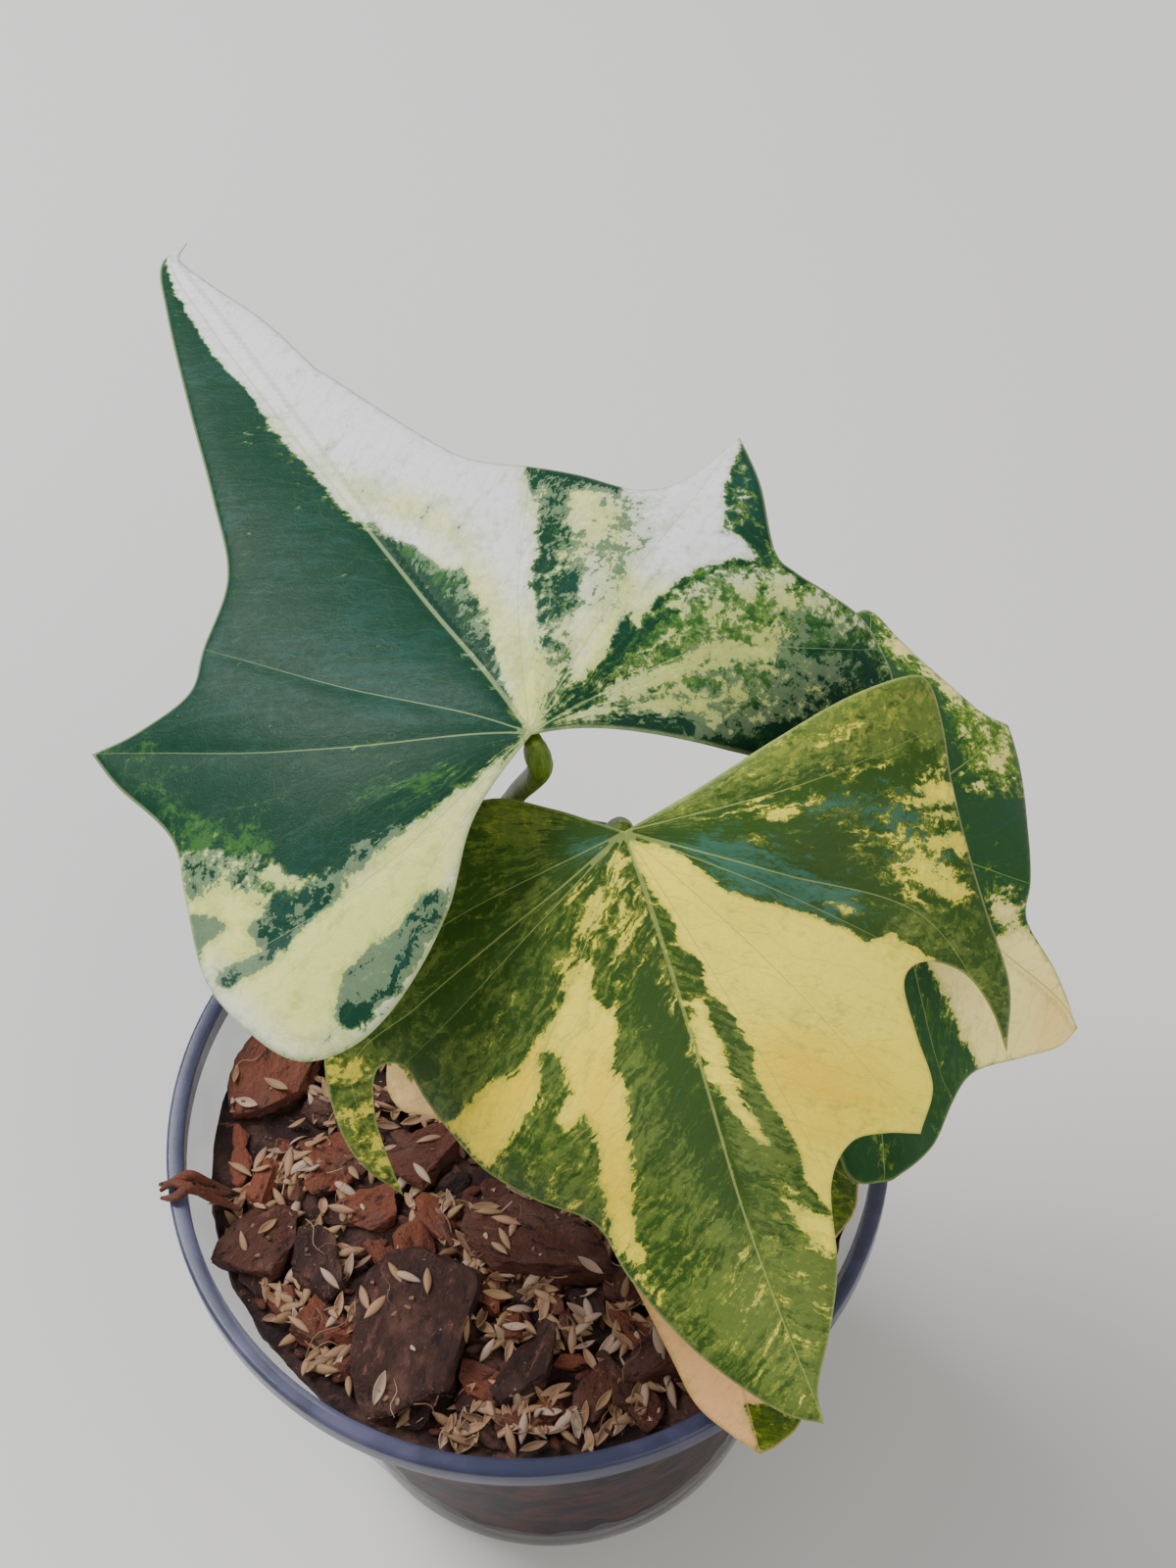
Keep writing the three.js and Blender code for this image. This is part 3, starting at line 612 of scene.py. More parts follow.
def tube(points, radii, sides, count, swell=None):
    """Points, in metres, and faces of a closed tube; its radius is given at each point."""
    line, shares = smooth_path(points, count)
    places = np.interp(shares, range(len(radii)), radii)
    normal = Vector((0.3, 0.9, 0.2)).cross(line[1] - line[0]).normalized()
    verts = []
    for i, middle in enumerate(line):
        ahead = (line[min(i + 1, count - 1)] - line[max(i - 1, 0)]).normalized()
        normal = (normal - ahead * normal.dot(ahead)).normalized()
        other = ahead.cross(normal)
        for side in range(sides):
            turn = 2 * math.pi * side / sides
            radius = places[i] * (swell(i / (count - 1), turn) if swell else 1)
            verts.append((middle + (normal * math.cos(turn) + other * math.sin(turn)) * radius) * MM)
    faces = []
    for i in range(count - 1):
        for side in range(sides):
            a, b = i * sides + side, i * sides + (side + 1) % sides
            faces.append((a, b, b + sides, a + sides))
    faces.append(tuple(reversed(range(sides))))
    faces.append(tuple((count - 1) * sides + k for k in range(sides)))
    return verts, faces


half = THREAD_LENGTH / 2
thread_path = [(-half, 0, 0.3), (-0.4 * half, 1.6, 1.2), (0.3 * half, -1.2, 0.8), (half, 0.8, 0.2)]
thread_radii = [THREAD_RADIUS] * 3 + [0.5 * THREAD_RADIUS]
thread = mesh_object("thread", *tube(thread_path, thread_radii, 4, 10), [thread_skin])
grain_points, grain_faces, _ = bark_chip((0, 0, 0), 0, 0, GRAIN_SIZE, 3, 2)
grain_piece = mesh_object("grain", grain_points, grain_faces, [thread_skin])
crumb_points, crumb_faces, crumb_grains = bark_chip((0, 0, 0), 0, 0, CRUMB_SIZE, 5, 2)
crumb = mesh_object("crumb", crumb_points, crumb_faces, [bark])
mark_grain(crumb, crumb_grains, [0.5] * len(crumb_points))


def joined(parts):
    """The points and faces of several closed shapes together."""
    points = []
    faces = []
    for part_points, part_faces in parts:
        faces += [tuple(len(points) + k for k in face) for face in part_faces]
        points += part_points
    return points, faces


# The coir shred: a tuft of three brown fibres torn from a chip. It was left there as the mix was
# poured, and hangs over the lip at the left with its inner ends on the mix.
SHRED_TURN = 188.5
SHRED_PATH = [(77.4, 125.6), (74.6, 126.7), (71.4, 125.9), (67.5, 120.5), (62.5, 115)]
SHRED_RADII = [0.4, 1.0, 1.25, 1.1, 0.5]
SHRED_STRANDS = [(-1.5, 0.8), (0, -0.9), (1.6, 1.1)]
STREW_REACH = 66
DRIFT_SIZE = 14

strands = []
for aside, sway in SHRED_STRANDS:
    around = Matrix.Rotation(math.radians(SHRED_TURN), 3, "Z")
    path = [
        around @ Vector((out, aside + sway * math.sin(2 * k), height))
        for k, (out, height) in enumerate(SHRED_PATH)
    ]
    strands.append(tube(path, SHRED_RADII, 8, 24))
shred_points, shred_faces = joined(strands)
shred = mesh_object("coir_shred", shred_points, shred_faces, [bark])
mark_grain(shred, shred_points, [0.7] * len(shred_points))
shred.data.shade_smooth()


def scatter_tree():
    """Geometry Nodes that strew copies of a small piece over the faces marked open."""
    tree = bpy.data.node_groups.new("strew", "GeometryNodeTree")
    inputs = {}
    for name, kind in [
        ("Ground", "NodeSocketGeometry"),
        ("Piece", "NodeSocketObject"),
        ("Density", "NodeSocketFloat"),
        ("Smallest", "NodeSocketFloat"),
        ("Tilt", "NodeSocketFloat"),
        ("Lift", "NodeSocketFloat"),
        ("Seed", "NodeSocketInt"),
        ("Finish", "NodeSocketMaterial"),
    ]:
        inputs[name] = tree.interface.new_socket(name, in_out="INPUT", socket_type=kind).identifier
    tree.interface.new_socket("Strewn", in_out="OUTPUT", socket_type="NodeSocketGeometry")
    given = tree.nodes.new("NodeGroupInput").outputs
    number = {"data_type": "FLOAT"}
    opened = add_node(tree, "GeometryNodeInputNamedAttribute", number, Name="open").outputs[0]
    density = sum_of(tree, "MULTIPLY", given["Density"], opened)
    sown = {"Mesh": given["Ground"], "Density": density, "Seed": given["Seed"]}
    spread = add_node(tree, "GeometryNodeDistributePointsOnFaces", **sown)
    rolled = sum_of(tree, "MULTIPLY", given["Tilt"], -1.0)
    low = add_node(tree, "ShaderNodeCombineXYZ", X=rolled, Y=rolled, Z=0.0).outputs[0]
    tilt = given["Tilt"]
    high = add_node(tree, "ShaderNodeCombineXYZ", X=tilt, Y=tilt, Z=2 * math.pi).outputs[0]
    angles = {"data_type": "FLOAT_VECTOR"}
    spin = add_node(tree, "FunctionNodeRandomValue", angles, _0=low, _1=high, Seed=11)
    turn = add_node(tree, "FunctionNodeEulerToRotation", Euler=spin.outputs[0]).outputs[0]
    pose = add_node(
        tree,
        "FunctionNodeRotateRotation",
        {"rotation_space": "LOCAL"},
        Rotation=spread.outputs["Rotation"],
        Rotate_By=turn,
    ).outputs[0]
    size = add_node(tree, "FunctionNodeRandomValue", _2=given["Smallest"], _3=1.0, Seed=12).outputs[1]
    shape = add_node(tree, "GeometryNodeObjectInfo", Object=given["Piece"]).outputs["Geometry"]
    raised = add_node(tree, "ShaderNodeVectorMath", {"operation": "SCALE"}, _0=spread.outputs["Normal"])
    tree.links.new(given["Lift"], raised.inputs["Scale"])
    moved = add_node(
        tree, "GeometryNodeSetPosition", Geometry=spread.outputs["Points"], Offset=raised.outputs[0]
    ).outputs[0]
    copies = add_node(
        tree, "GeometryNodeInstanceOnPoints", Points=moved, Instance=shape, Rotation=pose, Scale=size
    ).outputs[0]
    tint = add_node(tree, "FunctionNodeRandomValue", Seed=13).outputs[1]
    stored = add_node(
        tree,
        "GeometryNodeStoreNamedAttribute",
        {"data_type": "FLOAT", "domain": "INSTANCE"},
        Geometry=copies,
        Name="tint",
        Value=tint,
    ).outputs[0]
    real = add_node(tree, "GeometryNodeRealizeInstances", Geometry=stored).outputs[0]
    done = add_node(tree, "GeometryNodeSetMaterial", Geometry=real, Material=given["Finish"]).outputs[0]
    tree.links.new(done, tree.nodes.new("NodeGroupOutput").inputs[0])
    return tree, inputs


def strew(name, ground, piece, finish, density, smallest, tilt, lift, seed):
    """A plain mesh of the strewn copies."""
    holder = bpy.data.objects.new(name, ground.data.copy())
    bpy.context.scene.collection.objects.link(holder)
    step = holder.modifiers.new("strew", "NODES")
    step.node_group = strewing
    given = {"Piece": piece, "Density": density, "Smallest": smallest, "Tilt": tilt}
    given.update({"Lift": lift, "Seed": seed, "Finish": finish})
    for key, value in given.items():
        step[socket_of[key]] = value
    made = bpy.data.meshes.new_from_object(holder.evaluated_get(bpy.context.evaluated_depsgraph_get()))
    holder.modifiers.clear()
    holder.data = made
    holder.data.shade_smooth()
    return holder


def mark_open(piece):
    """Marks the points of the top that face up and lie clear of the stem and the wall."""
    marks = piece.data.attributes.new("open", "FLOAT", "POINT")
    normals = piece.data.vertex_normals
    for vert in piece.data.vertices:
        x, y, z = (value / MM for value in vert.co)
        up = normals[vert.index].vector.z
        clear = math.hypot(x - STEM_SPOT[0], y - STEM_SPOT[1]) > STEM_CLEAR
        clear = clear and math.hypot(x, y) < STREW_REACH
        drift = min(1, max(0.1, 0.55 + 2.2 * lumps(x, y, 0, DRIFT_SIZE)))
        marks.data[vert.index].value = drift if up > 0.35 and clear and z > FILL_EDGE - 2 else 0.0


for piece in (bed, chips):
    piece.data.shade_smooth()
    piece.data.set_sharp_from_angle(angle=math.radians(32))
    mark_open(piece)
strewing, socket_of = scatter_tree()
crumbs = strew("crumbs", bed, crumb, bark, 90000, 0.35, 0.7, 0.6 * MM, 6)
husks_low = strew("husks_on_bed", bed, husk, husk_skin, 90000, 0.7, 0.6, 1.7 * MM, 3)
split_low = strew("split_husks_on_bed", bed, split_husk, husk_skin, 70000, 0.7, 0.6, 2.1 * MM, 4)
husks_high = strew("husks_on_chips", chips, husk, husk_skin, 13000, 0.7, 0.3, 0.3 * MM, 5)
split_high = strew("split_husks_on_chips", chips, split_husk, husk_skin, 9000, 0.7, 0.3, 0.6 * MM, 9)
threads = strew("coir_threads", chips, thread, thread_skin, 7000, 0.35, 0.35, 0.5 * MM, 8)
grains = strew("grains", chips, grain_piece, thread_skin, 26000, 0.3, 0.6, 0.1 * MM, 2)
for piece in (husk, split_husk, thread, grain_piece, crumb):
    bpy.data.objects.remove(piece)
strewn = (crumbs, husks_low, split_low, husks_high, split_high, threads, grains)
for piece in (bed, chips, shred, *strewn):
    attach(piece, "root")
    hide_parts("substrate")


# The stem: a short woody stub ringed with the scars of old leaves, the sheaths that the stalks
# grow from, and a few thick roots that dive into the mix.
STEM_RADIUS = 7
STEM_TOP = 132
STEM_FOOT = 84
STUB = [(1, 94), (1.12, 104), (1, 110), (1.08, 118), (0.92, 121), (0.95, 127), (0.6, 131)]
ROOT_RADIUS = 2.4
ROOT_TAPER = 0.8
ROOT_START = 92
ROOT_ARCH = 6
ROOT_ENDS = [(22, 40, 62), (-24, 48, 66), (-38, 14, 58), (-8, -14, 60), (26, 4, 70)]
STEM_SIDES = 32
STEM_BROWN = (0.075, 0.060, 0.022, 1)
STEM_TAN = (0.20, 0.15, 0.06, 1)
STEM_SPECK = (0.30, 0.22, 0.12, 1)
STALK_RADIUS = 2
SHEATH = 8
SHEATH_LOWEST = 117
STALKS = {
    "back": [(-10, 32, 138), (-4, 34, 182), (3, 28, 206)],
    "front": [(-1, 22, 138), (6, 24, 174), (18, 17, 204)],
    "right": [(4, 29, 130), (22, 32, 154), (46, 31, 178)],
    "under": [(-4, 15, 126), (2, 10, 140), (13, 5, 152)],
}

stem_skin, shader = bare_material("stem_skin", Roughness=0.8)
tree = stem_skin.node_tree
place = object_place(tree)
across = add_node(tree, "ShaderNodeMapping", Vector=place, Scale=(1, 1, 7)).outputs[0]
rings = noise_of(tree, across, 150.0, 5.0)
speck = noise_of(tree, place, 1100.0, 3.0)
shade = blend_of(tree, step_of(tree, rings, 0.35, 0.65), STEM_BROWN, STEM_TAN)
shade = blend_of(tree, step_of(tree, speck, 0.58, 0.75), shade, STEM_SPECK)
link(stem_skin, shade, shader.inputs["Base Color"])
bumped(stem_skin, shader, rings, 0.6, 0.6)


def stalk_line(name, beyond_foot):
    """A point on the line on which a stalk leaves the stem, so far beyond its foot."""
    foot, bend = (Vector(point) for point in STALKS[name][:2])
    return foot + (bend - foot).normalized() * beyond_foot


def stem_stub():
    """The stub, turned from its profile and made uneven."""
    profile = [(0.3, STEM_FOOT), (0.8 * STEM_RADIUS, STEM_FOOT)]
    smooth, _ = smooth_path([(share * STEM_RADIUS, 0, height) for share, height in STUB], 40)
    profile += [(point.x, point.z) for point in smooth] + [(0.3, STEM_TOP)]
    points, faces = turned(profile, STEM_SIDES)
    shaped = []
    for x, y, z in points:
        grow = 1 + 0.05 * lumps(x / MM, y / MM, z / MM, 4) + 0.03 * math.sin(z / MM * 2.4)
        shaped.append((x * grow + STEM_SPOT[0] * MM, y * grow + STEM_SPOT[1] * MM, z))
    return shaped, faces


stem_parts = [stem_stub()]
for root_end in ROOT_ENDS:
    start = Vector((*STEM_SPOT, ROOT_START))
    elbow = start.lerp(Vector(root_end), 0.5) + Vector((0, 0, ROOT_ARCH))
    radii = [ROOT_RADIUS + ROOT_TAPER, ROOT_RADIUS, ROOT_RADIUS - ROOT_TAPER]
    stem_parts.append(tube([start, elbow, root_end], radii, 12, 24))
for name in STALKS:
    foot = stalk_line(name, 0)
    inside = Vector((*STEM_SPOT, max(foot.z - 2 * SHEATH, SHEATH_LOWEST)))
    radii = [STALK_RADIUS + 1, STALK_RADIUS + 1.3, STALK_RADIUS + 0.6]
    stem_parts.append(tube([inside, stalk_line(name, -0.4 * SHEATH), foot], radii, 18, 20))
stem = mesh_object("stem_and_roots", *joined(stem_parts), [stem_skin])
stem.data.shade_smooth()
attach(stem, "root")
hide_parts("stem")


# The leaf at the back, the largest: half dark blue-green and half ivory, with a hooked tip, a spur
# on each side and two basal lobes. It is drawn in its own frame, across and ahead from its junction
# with the stalk and up from its plane. TIP marks the edge's sharp points.
TIP = 1
LOOSENESS = 60
BLADE = 0.8
BLADE_EDGE = 0.2
MESH_STEP = 1.05
VEIN_STEP = 1.0
VEIN_SIDE = 0.45
VEIN_DEPTH = 0.35
VEIN_REACH = 1.5
QUILT_HEIGHT = 0.45
QUILT_REACH = 8
SIDE_SPACING = 7.5
SIDE_SLANT = 0.84
RAY_SPREAD = 40
RAGGED = 2.2


def paint(colour):
    """A colour written as #rrggbb, as the shader wants it."""
    parts = [int(colour[k : k + 2], 16) / 255 for k in (1, 3, 5)]
    return (*[part / 12.92 if part < 0.04 else ((part + 0.055) / 1.055) ** 2.4 for part in parts], 1)


def through(a, b, c, d, share):
    """The curve through four points, at a share of the way from the second to the third."""
    bend = 2 * a - 5 * b + 4 * c - d + (3 * b - 3 * c + d - a) * share
    return b + 0.5 * share * (c - a + bend * share)


def edge_line(edge, step):
    """The whole edge as a line of points, its sharp points kept sharp."""
    rows = [np.array(row[:3], float) for row in edge]
    sharp = [len(row) > 3 for row in edge]
    count = len(rows)
    line = []
    for i in range(count):
        b, c = rows[i], rows[(i + 1) % count]
        a = 2 * b - c if sharp[i] else rows[i - 1]
        d = 2 * c - b if sharp[(i + 1) % count] else rows[(i + 2) % count]
        steps = math.ceil(np.linalg.norm(c - b) / step)
        line += [through(a, b, c, d, k / steps)[:2] for k in range(steps)]
    return np.array(line)


def height_over(leaf):
    """The blade's height over its plane: a thin plate bent through the edge and the veins."""
    knots = [row[:3] for row in leaf["edge"]] + [point for vein in leaf["veins"] for point in vein[1:]]
    knots = np.array(knots, float)
    count = len(knots)

    def pull(places):
        """The pull of every knot at each place."""
        squared = ((places[:, None, :] - knots[None, :, :2]) ** 2).sum(2)
        return squared * np.log(np.maximum(squared, 1e-12))

    plane = np.hstack([np.ones((count, 1)), knots[:, :2]])
    system = np.zeros((count + 3, count + 3))
    system[:count, :count] = pull(knots[:, :2]) + LOOSENESS * np.eye(count)
    system[:count, count:] = plane
    system[count:, :count] = plane.T
    weights = np.linalg.solve(system, np.hstack([knots[:, 2], np.zeros(3)]))
    bent, flat = weights[:count], weights[count:]
    return lambda places: pull(places) @ bent + flat[0] + places @ flat[1:]


def leaf_frame(leaf):
    """The pose of a leaf's own frame in the part's frame, in millimetres."""
    turn = Matrix.Rotation(math.radians(leaf["heading"] - 90), 4, "Z")
    turn @= Matrix.Rotation(math.radians(leaf["pitch"]), 4, "X")
    turn @= Matrix.Rotation(math.radians(-leaf["roll"]), 4, "Y")
    return Matrix.Translation(leaf["junction"]) @ turn


def gap_to_lines(places, starts, ends):
    """The distance from each place to the nearest of the straight pieces, and which one that is."""
    best = np.full(len(places), 1e9)
    which = np.zeros(len(places), int)
    for i, (a, b) in enumerate(zip(starts, ends)):
        run = b - a
        share = np.clip(((places - a) @ run) / max(run @ run, 1e-9), 0, 1)
        gap = np.linalg.norm(places - a - share[:, None] * run, axis=1)
        nearer = gap < best
        best[nearer] = gap[nearer]
        which[nearer] = i
    return best, which


def inside(places, outline):
    """Which places lie inside a closed outline."""
    x, y = places[:, 0], places[:, 1]
    odd = np.zeros(len(places), bool)
    for a, b in zip(outline, np.roll(outline, -1, axis=0)):
        crosses = (a[1] > y) != (b[1] > y)
        reach = (b[0] - a[0]) * (y - a[1]) / (b[1] - a[1] if b[1] != a[1] else 1) + a[0]
        odd ^= crosses & (x < reach)
    return odd


def painted(places, ground, patches):
    """A value all over the leaf: a ground, with patches laid over it that fade over their feather."""
    value = np.full(len(places), float(ground))
    for strength, feather, outline in patches:
        outline = np.array(outline, float)
        gap, _ = gap_to_lines(places, outline, np.roll(outline, -1, axis=0))
        depth = np.where(inside(places, outline), gap, -gap)
        share = np.clip(0.5 + 0.5 * depth / (RAGGED * feather), 0, 1)
        value += (strength - value) * share * share * (3 - 2 * share)
    return value


def vein_lines(leaf):
    """Each vein as a smooth line on the plane from the junction to its place on the edge."""
    lines = []
    for vein in leaf["veins"]:
        spots = [(0, 0, 0), *[(*point[:2], 0) for point in vein[1:]], (*leaf["edge"][vein[0]][:2], 0)]
        length = sum((Vector(b) - Vector(a)).length for a, b in zip(spots, spots[1:]))
        path, _ = smooth_path(spots, max(4, round(length / VEIN_STEP)))
        lines.append(np.array([point[:2] for point in path]))
    return lines


def blade_net(leaf):
    """The leaf's outline, veins and a honeycomb of places between them, joined by triangles."""
    outline = edge_line(leaf["edge"], MESH_STEP)
    veins = vein_lines(leaf)
    low, high = outline.min(0), outline.max(0)
    places = []
    for row, y in enumerate(np.arange(low[1], high[1], MESH_STEP * 0.866)):
        shift = 0.5 * MESH_STEP * (row % 2)
        places += [(x + shift, y) for x in np.arange(low[0], high[0], MESH_STEP)]
    places = np.array(places)
    places = places[inside(places, outline)]
    places = places[gap_to_lines(places, outline, np.roll(outline, -1, axis=0))[0] > 0.6 * MESH_STEP]
    starts = np.vstack([line[:-1] for line in veins])
    ends = np.vstack([line[1:] for line in veins])
    places = places[gap_to_lines(places, starts, ends)[0] > 0.75 * MESH_STEP]
    beside = []
    for line in veins:
        ahead = np.gradient(line, axis=0)
        aside = np.stack([-ahead[:, 1], ahead[:, 0]], 1)
        aside = VEIN_SIDE * aside / np.linalg.norm(ahead, axis=1)[:, None]
        beside += [(line + aside)[1:-2], (line - aside)[1:-2]]
    beside = np.vstack(beside)
    beside = beside[gap_to_lines(beside, starts, ends)[0] > 0.9 * VEIN_SIDE]
    beside = beside[inside(beside, outline)]
    given = [Vector(spot) for spot in outline]
    count = len(given)
    rims = [(i, (i + 1) % count) for i in range(count)]
    for line in veins:
        first = len(given)
        given += [Vector(spot) for spot in line[:-1]]
        rims += [(first + k, first + k + 1) for k in range(len(line) - 2)]
    given += [Vector(spot) for spot in np.vstack([beside, places])]
    spots, _, faces, *_ = geometry.delaunay_2d_cdt(given, rims, [list(range(count))], 1, 0.02)
    return np.array([spot[:] for spot in spots]), [tuple(face) for face in faces], outline, veins


def flow_over(places):
    """Along which line each place lies, and how far out: the lines leave the junction like rays on
    the basal lobes, and leave the midrib aslant in front of it. Streaks follow them."""
    across, ahead = np.abs(places[:, 0]), places[:, 1]
    slant = ahead - SIDE_SLANT * across
    angle = np.arctan2(ahead, across + 1e-6) - math.atan(SIDE_SLANT)
    line = np.where(slant > 0, slant, RAY_SPREAD * angle)
    line = line + np.where(places[:, 0] > 0, 500.0, 0.0)
    return line, np.hypot(across, ahead)


def make_blade(side, leaf, skin):
    """The blade as one closed mesh with the marks that its skin reads."""
    places, faces, outline, veins = blade_net(leaf)
    height = height_over(leaf)
    middle = height(places)
    slope = np.hypot(height(places + (0.5, 0)) - middle, height(places + (0, 0.5)) - middle) * 2
    margin, _ = gap_to_lines(places, outline, np.roll(outline, -1, axis=0))
    vein = np.full(len(places), 99.0)
    nearest = np.full(len(places), 99.0)
    for line, wide in zip(veins, leaf["vein_widths"]):
        gap, which = gap_to_lines(places, line[:-1], line[1:])
        along = which / (len(line) - 1)
        vein = np.minimum(vein, gap / (wide * (1 - 0.8 * along)))
        nearest = np.minimum(nearest, gap)
    relief = -VEIN_DEPTH * np.exp(-((nearest / VEIN_REACH) ** 2))
    relief += QUILT_HEIGHT * (1 - np.exp(-((nearest / QUILT_REACH) ** 2)))
    line, out = flow_over(places)
    ridge = np.sin(line * 2 * math.pi / SIDE_SPACING)
    relief += 0.03 * ridge * np.clip(nearest / 6, 0, 1) * np.clip(margin / 5, 0, 1)
    middle = middle + relief * np.clip(margin / 4, 0, 1)
    rounding = np.clip(margin / 1.6, 0, 1)
    half = 0.5 * (BLADE_EDGE + (BLADE - BLADE_EDGE) * np.sqrt(rounding)) * np.hypot(1, slope)
    pose = np.array(leaf_frame(leaf))
    count = len(places)
    top = np.hstack([places, (middle + half)[:, None]])
    underneath = np.hstack([places, (middle - half)[:, None]])
    sheet = np.vstack([top, underneath])
    points = (sheet @ pose[:3, :3].T + pose[:3, 3]) * MM
    uses = {}
    for a, b, c in faces:
        for edge in ((a, b), (b, c), (c, a)):
            uses[edge] = uses.get(edge, 0) + 1
    rim = [edge for edge in uses if (edge[1], edge[0]) not in uses]
    solid = list(faces)
    solid += [(c + count, b + count, a + count) for a, b, c in faces]
    solid += [(b, a, a + count, b + count) for a, b in rim]
    blade = mesh_object("blade_" + side, points, solid, [skin])
    blade.data.shade_smooth()
    marks = {
        "pale": painted(places, leaf["pale_ground"], leaf["pale"]),
        "tone": painted(places, leaf["tone_ground"], leaf["tone"]),
        "warm": painted(places, leaf["warm_ground"], leaf["warm"]),
        "thin": painted(places, leaf["thin_ground"], leaf["thin"]),
        "vein": vein,
        "margin": margin,
        "line": line,
        "out": out,
    }
    for key, values in marks.items():
        layer = blade.data.attributes.new(key, "FLOAT", "POINT")
        layer.data.foreach_set("value", np.hstack([values, values]).astype(np.float32))
    below = blade.data.attributes.new("below", "FLOAT", "POINT")
    below.data.foreach_set("value", np.hstack([np.zeros(count), np.ones(count)]).astype(np.float32))
    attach(blade, "root")
    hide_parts("leaf_" + side)
    return blade


